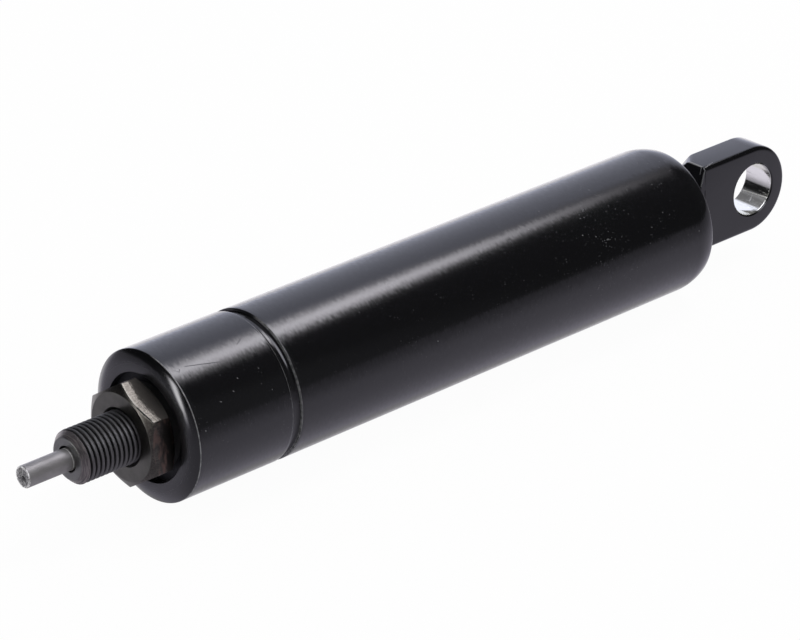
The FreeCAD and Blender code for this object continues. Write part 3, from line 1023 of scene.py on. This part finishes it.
@dataclass
class Eye:
    """The flat eye at the closed end, its neck and the weld that holds it."""

    width: float = 17.3
    thickness: float = 7.0
    edge: float = 0.9
    base_edge: float = 0.3
    base_x: float = 13.4
    base_crown: float = 1.6
    ground_x: float = 10.5
    ground_way: Place = (0.484, -0.561, 0.672)
    tube_x: float = 20.7
    bore_dia: float = 10.2
    bore_chamfer: float = 0.3
    neck_dia: float = 6.4
    weld_leg: float = 2.0
    ripples: int = 22
    bulge: float = 0.2
    over: float = 0.5
    swells: tuple[tuple[float, float], ...] = ((0.75, 0.09), (0.0, 0.04), (-0.8, -0.06))
    # The eye's marks are light lines along its base's edges: painted highlights on their roundings.
    finish: LugPaint = LugPaint(marks=(
        Mark((13.32, 2.5, 8.56), (13.32, -1.0, 8.56), 0.26, 0.75),
        Mark((13.42, 2.55, 8.4), (13.9, 2.6, 7.31), 0.2, 0.45),
        Mark((13.4, 3.42, 8.4), (14.4, 3.42, 5.1), 0.2, 0.4),
        Mark((12.95, 3.1, 8.5), (10.6, 2.6, 8.65), 0.16, 0.35)))
    weld_finish: GlossPaint = GlossPaint("weld_paint", roughness=0.26, peel_depth=0.02)

    @property
    def bow(self) -> float:
        """The radius of the base's crown."""
        return ((self.width / 2) ** 2 + self.base_crown ** 2) / (2 * self.base_crown)

    @property
    def bow_x(self) -> float:
        """Where the crown's axis lies along X."""
        return self.base_x + self.base_crown - self.bow

    def lug(self) -> bpy.types.Object:
        """Makes the eye: a half round drawn out to its crowned base, edges rounded, bore cut through.

        Returns:
            The eye.
        """
        half = self.width / 2
        Bench.clear()
        bpy.ops.mesh.primitive_cylinder_add(
            vertices=160, radius=half * MM, depth=self.thickness * MM, rotation=(math.pi / 2, 0, 0))
        lug = Bench.named("eye_lug_skin")
        Bench.settle(lug)
        Bench.edit(lug)
        bpy.ops.mesh.select_all(action="SELECT")
        bpy.ops.mesh.bisect(plane_co=(0, 0, 0), plane_no=(1, 0, 0), clear_outer=True)
        Bench.pick(lug, Part.VERTEX, lambda co: abs(co.x) < 1e-6)
        reach = (self.base_x + self.base_crown) * MM
        bpy.ops.mesh.extrude_region_move(TRANSFORM_OT_translate={"value": (reach, 0, 0)})
        bpy.ops.mesh.edge_face_add()
        Bench.heal()
        Bench.clear()
        bpy.ops.mesh.primitive_cylinder_add(
            vertices=360, radius=self.bow * MM, depth=3 * self.thickness * MM, rotation=(math.pi / 2, 0, 0),
            location=(self.bow_x * MM, 0, 0))
        crown = Bench.named("base_crown")
        Bench.settle(crown)
        Bench.join(lug, crown, Join.KEEP)
        self.ease(lug)
        neck = Bench.turn("neck", [
            Corner(self.base_x - self.over, 0), Corner(self.base_x - self.over, self.neck_dia / 2),
            Corner(self.tube_x, self.neck_dia / 2), Corner(self.tube_x, 0)], 96)
        Bench.join(lug, neck, Join.ADD)
        Bench.join(lug, self.reamer(), Join.TAKE)
        Bench.smooth(lug, 24)
        return lug

    def ease(self, lug: bpy.types.Object) -> None:
        """Grinds off the base's two far corners and rounds the plate's edges, the sawn base's the least.

        Args:
            lug: The sharp-edged plate.
        """
        Bench.edit(lug)
        Bench.heal()
        x, y, z = self.ground_way
        for up in (1, -1):
            corner = (self.ground_x * MM, -self.thickness / 2 * MM, up * self.width / 2 * MM)
            bpy.ops.mesh.select_all(action="SELECT")
            bpy.ops.mesh.bisect(plane_co=corner, plane_no=(x, y, z * up), clear_outer=True, use_fill=True)
        Bench.heal()
        bpy.ops.mesh.select_mode(type="EDGE")
        bpy.ops.mesh.select_all(action="DESELECT")
        bpy.ops.mesh.edges_select_sharp(sharpness=math.radians(35))
        bpy.ops.transform.edge_bevelweight(value=1.0)
        Bench.pick(lug, Part.EDGE, lambda co: (
            abs(math.hypot(co.x - self.bow_x * MM, co.z) - self.bow * MM) < 0.02 * MM))
        bpy.ops.transform.edge_bevelweight(value=self.base_edge / self.edge - 1.0)
        Bench.finish_with(lug, "BEVEL", width=self.edge * MM, segments=7, limit_method="WEIGHT",
                          use_clamp_overlap=False)

    def reamer(self) -> bpy.types.Object:
        """Makes the solid that cuts the bore and breaks its edges.

        Returns:
            The cutting solid.
        """
        side, r = self.thickness / 2, self.bore_dia / 2
        past, wide = side + self.over, r + self.bore_chamfer + self.over
        tool = Bench.turn("reamer", [
            Corner(-past, 0), Corner(-past, wide), Corner(-side + self.bore_chamfer, r),
            Corner(side - self.bore_chamfer, r), Corner(past, wide), Corner(past, 0)], 128)
        tool.rotation_euler = (0, 0, math.pi / 2)
        Bench.settle(tool)
        return tool

    def weld(self) -> bpy.types.Object:
        """Makes the weld round the neck, with the ripples of its run.

        Returns:
            The weld.
        """
        neck, foot = self.neck_dia / 2, self.neck_dia / 2 + self.weld_leg
        start, push = self.tube_x - self.weld_leg, self.weld_leg / 2 + self.bulge
        weld = Bench.turn("weld_run", [
            Corner(start, neck), Corner(self.tube_x - push, neck + push, 0.7, 8),
            Corner(self.tube_x, foot), Corner(self.tube_x, neck)], self.ripples * 8, closed=True)
        Bench.edit(weld)
        for phase, swell in self.swells:
            Bench.pick(weld, Part.VERTEX, lambda co, phase=phase: (
                math.hypot(co.y, co.z) > (neck + 0.2) * MM and co.x < (self.tube_x - 0.1) * MM
                and abs(math.cos(self.ripples * math.atan2(co.z, co.y) + 300 * co.x) - phase) < 0.26))
            bpy.ops.transform.shrink_fatten(value=swell * MM)
        Bench.clear()
        Bench.smooth(weld, 60)
        return weld

    def build(self) -> list[bpy.types.Object]:
        """Makes and dresses the eye and its weld.

        Returns:
            The pieces made.
        """
        lug, weld = self.lug(), self.weld()
        self.finish.dress(lug)
        self.weld_finish.dress(weld)
        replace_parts(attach(lug, "barrel"), "eye_lug")
        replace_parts(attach(weld, "barrel"), "weld_bead")
        return [lug, weld]


@dataclass
class Rod:
    """The hollow rod: its plain ground length and the fine thread that it ends in."""

    spigot_x: float = 72.64
    shoulder_x: float = 81.64
    spigot_dia: float = 8.0
    dia: float = 10.0
    bore_dia: float = 4.1
    thread_x: float = 146.8
    crest_dia: float = 9.84
    root_depth: float = 0.5
    pitch: float = 1.0
    nose_x: float = 163.6
    nose_chamfer: float = 1.1
    mouth_dia: float = 4.7
    mouth_depth: float = 1.5
    spare: float = 1.5
    over: float = 0.4
    runout: float = 0.1
    nose_edge: float = 0.12
    spigot_edge: float = 0.3
    step_edge: float = 0.08
    finish: ThreadSteel = ThreadSteel()

    def thread(self) -> bpy.types.Object:
        """Winds one turn's outline up the rod and cuts it off square at both ends.

        Returns:
            The thread, solid to the axis.
        """
        crest, root = self.crest_dia / 2, self.crest_dia / 2 - self.root_depth
        start = self.thread_x - self.spare
        turns = math.ceil((self.nose_x + self.spare - start) / self.pitch)
        outline = [Corner(start + place * self.pitch, r) for place, r in (
            (0.0, root), (0.05, root + 0.01), (0.22, crest - 0.12), (0.29, crest - 0.067), (0.36, crest - 0.03),
            (0.43, crest - 0.007), (0.5, crest), (0.57, crest - 0.007), (0.64, crest - 0.03), (0.71, crest - 0.067),
            (0.78, crest - 0.12), (0.95, root + 0.01), (1.0, root))]
        thread = Bench.draw("thread", outline)
        Bench.clear()
        Bench.finish_with(thread, "SCREW", axis="X", angle=2 * math.pi, screw_offset=self.pitch * MM, iterations=turns,
                          steps=72, render_steps=72, use_merge_vertices=True, merge_threshold=1e-6)
        Bench.edit(thread)
        Bench.heal()
        for x, side in ((self.thread_x, -1), (self.nose_x + self.over, 1)):
            bpy.ops.mesh.select_all(action="SELECT")
            bpy.ops.mesh.bisect(plane_co=(x * MM, 0, 0), plane_no=(side, 0, 0), clear_outer=True, use_fill=True)
        Bench.heal()
        Bench.clear()
        return thread

    def blank(self) -> bpy.types.Object:
        """Turns the bored and chamfered blank that the thread is cut on.

        Returns:
            The blank.
        """
        bore, mouth, crest = self.bore_dia / 2, self.mouth_dia / 2, self.crest_dia / 2
        back, floor = self.thread_x - self.over, self.nose_x - self.mouth_depth
        return Bench.turn("blank", [
            Corner(back, bore), Corner(back, crest + self.over),
            Corner(self.nose_x - self.nose_chamfer - self.over, crest + self.over),
            Corner(self.nose_x, crest - self.nose_chamfer, self.nose_edge, 3),
            Corner(self.nose_x, mouth, self.nose_edge, 3), Corner(floor, mouth), Corner(floor, bore)], 144, closed=True)

    def shaft(self) -> bpy.types.Object:
        """Turns the plain length with its spigot.

        Returns:
            The plain length.
        """
        bore, spigot, r = self.bore_dia / 2, self.spigot_dia / 2, self.dia / 2
        return Bench.turn("rod_skin", [
            Corner(self.spigot_x, bore), Corner(self.spigot_x, spigot, self.spigot_edge, 2),
            Corner(self.shoulder_x, spigot), Corner(self.shoulder_x, r),
            Corner(self.thread_x - self.runout, r, self.step_edge, 2),
            Corner(self.thread_x + self.runout, self.crest_dia / 2 - self.over),
            Corner(self.thread_x + self.runout, bore)], 144, closed=True)

    def build(self) -> list[bpy.types.Object]:
        """Makes and dresses the rod.

        Returns:
            The pieces made.
        """
        end = self.thread()
        Bench.join(end, self.blank(), Join.KEEP)
        rod = self.shaft()
        Bench.join(rod, end, Join.ADD)
        Bench.smooth(rod, 28)
        self.finish.dress(rod)
        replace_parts(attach(rod, "rod"), "piston_rod")
        return [rod]


@dataclass
class Nut:
    """The thin hexagon nut, chamfered on both faces."""

    across_flats: float = 17.0
    thickness: float = 5.0
    face_x: float = 152.0
    face_dia: float = 16.2
    chamfer_angle: float = 30.0
    hole_dia: float = 9.94
    countersink: float = 0.5
    corner_at: float = 93.3
    edge: float = 0.22
    face_edge: float = 0.1
    over: float = 0.3
    past: float = 1.0
    finish: BlackOxide = BlackOxide()

    @property
    def corner_r(self) -> float:
        """The radius over the hexagon's corners."""
        return self.across_flats / math.sqrt(3)

    @property
    def back_x(self) -> float:
        """Where the inner face lies along X."""
        return self.face_x - self.thickness

    def hexagon(self) -> bpy.types.Object:
        """Makes the hexagon, longer than the nut and with its long edges rounded.

        Returns:
            The hexagon.
        """
        middle = (self.back_x + self.face_x) / 2 * MM
        Bench.clear()
        bpy.ops.mesh.primitive_cylinder_add(
            vertices=6, radius=self.corner_r * MM, depth=(self.thickness + 2 * self.past) * MM,
            rotation=(0, math.pi / 2, 0), location=(middle, 0, 0))
        nut = Bench.named("jam_nut_skin")
        Bench.settle(nut)
        first = nut.data.vertices[0].co
        nut.rotation_euler = (math.radians(self.corner_at) - math.atan2(first.z, first.y), 0, 0)
        Bench.settle(nut)
        Bench.edit(nut)
        Bench.pick(nut, Part.EDGE, lambda co: abs(co.x - middle) < 1e-5)
        bpy.ops.mesh.bevel(offset=self.edge * MM, segments=4, profile=0.5, affect="EDGES")
        Bench.clear()
        return nut

    def cones(self) -> bpy.types.Object:
        """Turns the solid whose cones chamfer the hexagon on both faces.

        Returns:
            The solid.
        """
        face, slope = self.face_dia / 2, math.tan(math.radians(self.chamfer_angle))
        drop = (self.corner_r - face) * slope + self.over
        wide = self.corner_r + self.over / slope
        return Bench.turn("nut_blank", [
            Corner(self.back_x, 0), Corner(self.back_x, face, self.face_edge, 3),
            Corner(self.back_x + drop, wide), Corner(self.face_x - drop, wide),
            Corner(self.face_x, face, self.face_edge, 3), Corner(self.face_x, 0)], 192)

    def drill(self) -> bpy.types.Object:
        """Turns the solid that cuts the hole and its countersinks.

        Returns:
            The solid.
        """
        hole, sink = self.hole_dia / 2, self.countersink
        back, front, wide = self.back_x - self.past, self.face_x + self.past, hole + sink + self.past
        return Bench.turn("drill", [
            Corner(back, 0), Corner(back, wide), Corner(self.back_x + sink, hole),
            Corner(self.face_x - sink, hole), Corner(front, wide), Corner(front, 0)], 144)

    def build(self) -> list[bpy.types.Object]:
        """Makes and dresses the nut.

        Returns:
            The pieces made.
        """
        nut = self.hexagon()
        Bench.join(nut, self.cones(), Join.KEEP)
        Bench.join(nut, self.drill(), Join.TAKE)
        Bench.smooth(nut, 22)
        self.finish.dress(nut)
        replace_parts(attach(nut, "jam_nut"), "jam_nut")
        return [nut]


@dataclass
class ReleasePin:
    """The pin in the rod's nose, broken off rough at its tip."""

    dia: float = 4.0
    inner_x: float = 77.94
    tip_x: float = 173.0
    inner_edge: float = 0.2
    tip_edge: float = 0.22
    tip_chamfer: float = 0.14
    tip_sink: float = 0.04
    tip_rings: int = 9
    tear: float = 0.07
    finish: PinSteel = PinSteel()

    def build(self) -> list[bpy.types.Object]:
        """Makes and dresses the pin.

        Returns:
            The pieces made.
        """
        r = self.dia / 2
        tip = [Corner(self.tip_x - self.tip_sink, (r - self.tip_chamfer) * i / self.tip_rings)
               for i in range(self.tip_rings, -1, -1)]
        pin = Bench.turn("release_pin_skin", [
            Corner(self.inner_x, 0), Corner(self.inner_x, r, self.inner_edge, 3), Corner(self.tip_x - 0.6, r),
            Corner(self.tip_x - self.tip_edge, r), *tip], 96)
        Bench.edit(pin)
        Bench.pick(pin, Part.VERTEX, lambda co: co.x > (self.tip_x - 0.1) * MM)
        bpy.ops.transform.vertex_random(offset=self.tear * MM, seed=4)
        Bench.clear()
        Bench.smooth(pin, 35)
        self.finish.dress(pin)
        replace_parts(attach(pin, "release_pin"), "release_pin")
        return [pin]


@dataclass
class InnerParts:
    """The pieces inside the tube, which keep their own solids and get their finishes here."""

    steel: TurnedMetal = TurnedMetal()
    aluminium: TurnedMetal = TurnedMetal("turned_aluminium", (0.7, 0.7, 0.72), 0.26, 0.2)
    anodised: TurnedMetal = TurnedMetal("black_anodised", (0.02, 0.02, 0.022), 0.4, 0.2)
    bronze: PorousBronze = PorousBronze()
    plastic: Moulded = Moulded("slide_plastic", (0.09, 0.08, 0.07), 0.42, 0.5)
    rubber: Moulded = Moulded()
    wiper: Moulded = Moulded("wiper_rubber", (0.01, 0.01, 0.01), 0.62, 0.2)

    def build(self) -> list[bpy.types.Object]:
        """Dresses each inner piece by the finish that the record gives it.

        Returns:
            The pieces dressed.
        """
        finishes = {f.name: f for f in (
            self.steel, self.aluminium, self.anodised, self.bronze, self.plastic, self.rubber, self.wiper)}
        dressed = []
        for part in frame["record"]["subparts"]:
            node = frame["nodes"][part["node"]]
            if node.hide_render:
                continue
            finishes[part["material_slot"]].dress(node)
            dressed.append(node)
        return dressed


class Sky:
    """The directions of the mirrored room, as signals of its material's graph."""

    def __init__(self, graph: Graph) -> None:
        """Takes the directions from the places on the room's wall.

        Args:
            graph: The graph of the room's material.
        """
        self.graph = graph
        self.x, self.y, self.z = graph.axes(graph.vector("NORMALIZE", graph.place()))
        self.level = graph.maths("SQRT", self.x * self.x + self.y * self.y) + 1e-4

    def facing(self, azimuth: float) -> Signal:
        """Gives how far a direction lies towards an azimuth, from one down to minus one."""
        way = math.radians(azimuth)
        return (self.x * math.cos(way) + self.y * math.sin(way)) / self.level

    def side(self, azimuth: float, start: float, end: float) -> Signal:
        """Fades in towards an azimuth."""
        return self.graph.fade(self.facing(azimuth), start, end)

    def above(self, start: float, end: float) -> Signal:
        """Fades in upwards."""
        return self.graph.fade(self.z, start, end)

    def near(self, azimuth: float, elevation: float) -> Signal:
        """Gives the cosine of the angle from a direction.

        Args:
            azimuth: The direction's angle from X, in degrees.
            elevation: Its height over the horizon, in degrees.

        Returns:
            One in that direction, falling to minus one.
        """
        side, over = math.radians(azimuth), math.radians(elevation)
        flat = self.x * (math.cos(over) * math.cos(side)) + self.y * (math.cos(over) * math.sin(side))
        return flat + self.z * math.sin(over)


@dataclass(frozen=True)
class Patch:
    """A soft patch in the mirrored room, which fades in towards an azimuth and upwards."""

    azimuth: float
    edges: tuple[float, float]
    heights: tuple[float, float]
    glow: float

    def on(self, sky: Sky) -> Signal:
        """Gives the patch's glow."""
        return self.glow * sky.above(*self.heights) * sky.side(self.azimuth, *self.edges)


@dataclass
class Studio:
    """The pale floor, the soft lights, what the gloss mirrors and the camera."""

    floor_z: float = -14.02
    eye: Place = (527.44, 493.13, 320.98)
    right: Place = (-0.7418, 0.6704, -0.0146)
    down: Place = (0.3023, 0.3150, -0.8996)
    lens: float = 184.3
    backdrop_at: tuple[float, float] = (-115.0, -130.0)
    backdrop: float = 0.97
    backdrop_gap: Patch = Patch(-70.0, (0.76, 0.9), (0.62, 0.76), 1.0)
    glare_at: float = -95.0
    ground_at: float = -170.0
    dark_room: float = 0.042
    dark_at: float = -45.0
    patches: tuple[Patch, ...] = (
        Patch(-60.0, (0.5, 0.9), (0.4, 0.62), 0.13),
        Patch(-22.0, (0.76, 0.95), (0.5, 0.64), 0.15),
        Patch(90.0, (0.775, 0.83), (-2.0, -1.0), 0.1))
    window_at: float = -15.5
    window: float = 12.0
    lamp_at: tuple[float, float] = (72.0, 62.0)
    lamp_glow: float = 4.5
    box_z: float = 0.65
    box_glow: float = 8.5

    @staticmethod
    def rays(graph: Graph, *names: str) -> Signal:
        """Gives one for light paths of any of these kinds.

        Args:
            graph: The graph of a material or of the surround.
            names: The Light Path outputs.

        Returns:
            One or nought.
        """
        path = graph.node("ShaderNodeLightPath").socket.node
        total: Signal | float = 0.0
        for name in names:
            total = Signal(graph, path.outputs[name]) + total
        return graph.maths("MINIMUM", total, 1.0)

    @staticmethod
    def glowing(piece: bpy.types.Object, graph: Graph, tint: Value, strength: Signal, open_back: bool = False) -> None:
        """Makes a piece of the stage glow for reflections alone.

        Args:
            piece: The piece, which carries the graph's material.
            graph: The material's graph.
            tint: Its colour.
            strength: How bright it is over its surface.
            open_back: Whether what lies behind it shows through.
        """
        light = graph.vector("MULTIPLY", tint, graph.joined(strength, strength, strength))
        glow = graph.node("ShaderNodeEmission", {}, {"Color": light, "Strength": 1.0})
        if open_back:
            clear = graph.node("ShaderNodeBsdfTransparent", {}, {"Color": (1, 1, 1, 1)})
            glow = graph.node("ShaderNodeAddShader", {}, {0: glow, 1: clear})
        graph.node("ShaderNodeOutputMaterial", {}, {"Surface": glow})
        piece.active_material.cycles.emission_sampling = "NONE"
        piece.visible_camera = piece.visible_diffuse = piece.visible_shadow = False
        piece.visible_transmission = piece.visible_volume_scatter = False

    @staticmethod
    def stuff(piece: bpy.types.Object) -> Graph:
        """Gives a piece of the stage a material of its own name.

        Args:
            piece: The piece of the stage.

        Returns:
            The material's graph.
        """
        made = bpy.data.materials.new(f"{piece.name}_stuff")
        made.use_nodes = True
        piece.data.materials.append(made)
        return Graph(made.node_tree)

    def floor(self) -> bpy.types.Object:
        """Lays the floor, white to the eye and with a soft shadow.

        Returns:
            The floor.
        """
        Bench.clear()
        bpy.ops.mesh.primitive_plane_add(size=8, location=(0, 0, self.floor_z * MM))
        floor = Bench.named("floor")
        Bench.settle(floor)
        graph = self.stuff(floor)
        seen = self.rays(graph, "Is Camera Ray", "Is Transmission Ray") * 0.97
        matt = graph.node("ShaderNodeBsdfDiffuse", {}, {"Color": (0.8, 0.8, 0.8, 1)})
        white = graph.node("ShaderNodeEmission", {}, {"Color": (1, 1, 1, 1), "Strength": 1.0})
        blend = graph.node("ShaderNodeMixShader", {}, {0: seen, 1: matt, 2: white})
        graph.node("ShaderNodeOutputMaterial", {}, {"Surface": blend})
        floor.active_material.cycles.emission_sampling = "NONE"
        floor.visible_glossy = False
        return floor

    def behind(self, sky: Sky) -> tuple[Signal, Signal]:
        """Builds the white backdrop behind the object.

        Args:
            sky: The room's directions.

        Returns:
            Where the backdrop is, and how bright.
        """
        left, right = self.backdrop_at
        where = sky.side(left, 0.56, 0.82) * sky.side(right, 0.5, 0.74) * (1.0 - self.backdrop_gap.on(sky))
        bright = 0.6 + 0.84 * sky.above(-0.76, -0.22) - (1.44 - self.backdrop) * sky.above(-0.12, 0.22)
        glare = sky.side(self.glare_at, 0.89, 0.97) * (1.0 - sky.graph.fade(abs(sky.z), 0.06, 0.22))
        return where, bright + 1.1 * glare

    def before(self, sky: Sky, window: Signal) -> Signal:
        """Builds the camera's side of the room: pale ground, dark air, a window and a lamp.

        Args:
            sky: The room's directions.
            window: Where the window is.

        Returns:
            How bright it is.
        """
        ground = 0.48 + 0.22 * sky.side(self.ground_at, -1.0, -0.4)
        ground = ground * (1.0 - 0.55 * sky.above(-0.42, -0.02))
        dim = self.dark_room * (1.0 - 0.8 * sky.side(self.dark_at, 0.5, 0.9))
        for patch in self.patches:
            dim = dim + patch.on(sky)
        share = sky.above(-0.03, 0.03)
        lamp = self.lamp_glow * sky.graph.fade(sky.near(*self.lamp_at), 0.84, 0.97)
        return ground * (1.0 - share) + dim * share + window * self.window + lamp

    def room(self) -> bpy.types.Object:
        """Sets the room that the gloss mirrors: white behind the object, pale floor, dark on the camera's side.

        Returns:
            The room.
        """
        Bench.clear()
        bpy.ops.mesh.primitive_uv_sphere_add(segments=48, ring_count=24, radius=3)
        room = Bench.named("room")
        graph = self.stuff(room)
        sky = Sky(graph)
        white, rear = self.behind(sky)
        beside = 1.0 - graph.fade(abs(sky.facing(self.window_at + 90.0)), 0.025, 0.125)
        window = beside * sky.above(-0.3, -0.07) * (1.0 - sky.above(0.155, 0.225)) * (sky.facing(self.window_at) > 0.0)
        share = sky.above(-0.03, 0.03)
        near = graph.mix(share, (1.0, 0.96, 1.13), (1.0, 1.0, 1.1))
        far = graph.mix(share, (1.0, 0.98, 1.03), (1.0, 1.03, 1.24))
        tint = graph.mix(white, near, far)
        tint = graph.mix(graph.maths("MINIMUM", window * 2.0, 1.0), tint, (1.0, 0.99, 1.02))
        self.glowing(room, graph, tint, white * rear + (1.0 - white) * self.before(sky, window))
        return room

    def soft_box(self) -> bpy.types.Object:
        """Hangs the soft box's face, bright in its middle and fading to its edges.

        Returns:
            The soft box.
        """
        Bench.clear()
        bpy.ops.mesh.primitive_plane_add(size=1, location=(-0.2, 0, self.box_z))
        box = Bench.named("soft_box")
        Bench.settle(box)
        graph = self.stuff(box)
        x, y, _ = graph.axes(graph.place())
        fall = graph.fade(x, -0.56, -0.36)
        middle = 0.008 + 0.5 * graph.maths("MINIMUM", x + 0.31, 0.0)
        wide = 0.05 + 0.048 * graph.fade(x, -0.54, -0.3)
        off = (y - middle) / wide
        glow = graph.maths("EXPONENT", off * off * -0.5) * fall * (1.0 - graph.fade(x, -0.2, 0.1))
        self.glowing(box, graph, (1.0, 0.98, 1.05), glow * self.box_glow, open_back=True)
        return box

    def lamp(self, name: str, aim: tuple[float, float], reach: float, size: tuple[float, float], glow: float,
             at: Place = (90, 0, 0)) -> None:
        """Hangs a soft lamp, which lights the object and the floor and isn't mirrored.

        Args:
            name: The lamp's name.
            aim: Its direction from the object, azimuth from X and elevation, in degrees.
            reach: Its distance in metres.
            size: Its width and height in metres.
            glow: The brightness of its face.
            at: The place that it faces, in millimetres.
        """
        around, up = (math.radians(v) for v in aim)
        out = Vector((math.cos(up) * math.cos(around), math.cos(up) * math.sin(around), math.sin(up)))
        Bench.clear()
        bpy.ops.object.light_add(type="AREA", location=Vector(at) * MM + out * reach)
        lamp = bpy.context.object
        lamp.name = lamp.data.name = name
        lamp.rotation_euler = (-out).to_track_quat("-Z", "Y").to_euler()
        lamp.data.shape = "RECTANGLE"
        lamp.data.size, lamp.data.size_y = size
        lamp.data.energy = glow * math.pi * size[0] * size[1]
        lamp.visible_camera = lamp.visible_glossy = False

    def surround(self) -> None:
        """Makes the white surround, softer for the light that it casts than to the eye."""
        world = bpy.data.worlds.new("surround")
        world.use_nodes = True
        world.cycles.sampling_method = "NONE"
        bpy.context.scene.world = world
        graph = Graph(world.node_tree)
        shown = self.rays(graph, "Is Camera Ray", "Is Glossy Ray", "Is Transmission Ray")
        white = graph.node("ShaderNodeBackground", {}, {"Color": (1, 1, 1, 1), "Strength": 0.7 + 0.3 * shown})
        graph.node("ShaderNodeOutputWorld", {}, {"Surface": white})

    def camera(self) -> None:
        """Places the camera where the picture was taken from."""
        right, down = Vector(self.right).normalized(), Vector(self.down)
        up = -(down - right * down.dot(right)).normalized()
        back = right.cross(up)
        Bench.clear()
        bpy.ops.object.camera_add()
        camera = bpy.context.object
        camera.name = "camera"
        turn = Matrix((right, up, back)).transposed().to_4x4()
        camera.matrix_world = Matrix.Translation(Vector(self.eye) * MM) @ turn
        camera.data.sensor_fit = "HORIZONTAL"
        camera.data.sensor_width = 36.0
        camera.data.lens = self.lens
        camera.data.clip_start, camera.data.clip_end = 0.01, 20
        bpy.context.scene.camera = camera

    def build(self) -> None:
        """Sets the whole stage."""
        self.floor()
        self.room()
        self.soft_box()
        self.surround()
        self.lamp("key_box", (182.0, 57.0), 0.8, (0.2, 0.4), 8.0)
        self.camera()
        bpy.context.scene.view_settings.view_transform = "Standard"


def main() -> None:
    """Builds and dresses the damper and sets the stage."""
    logging.basicConfig(level=logging.INFO, format="%(message)s")
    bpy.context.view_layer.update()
    for maker in (Barrel(), Eye(), Rod(), Nut(), ReleasePin(), InnerParts()):
        for piece in maker.build():
            LOG.info("%s: %s, %d faces", type(maker).__name__, piece.name, len(piece.data.polygons))
    Studio().build()
    Bench.clear()
    bpy.context.view_layer.update()


if __name__ == "__main__":
    main()
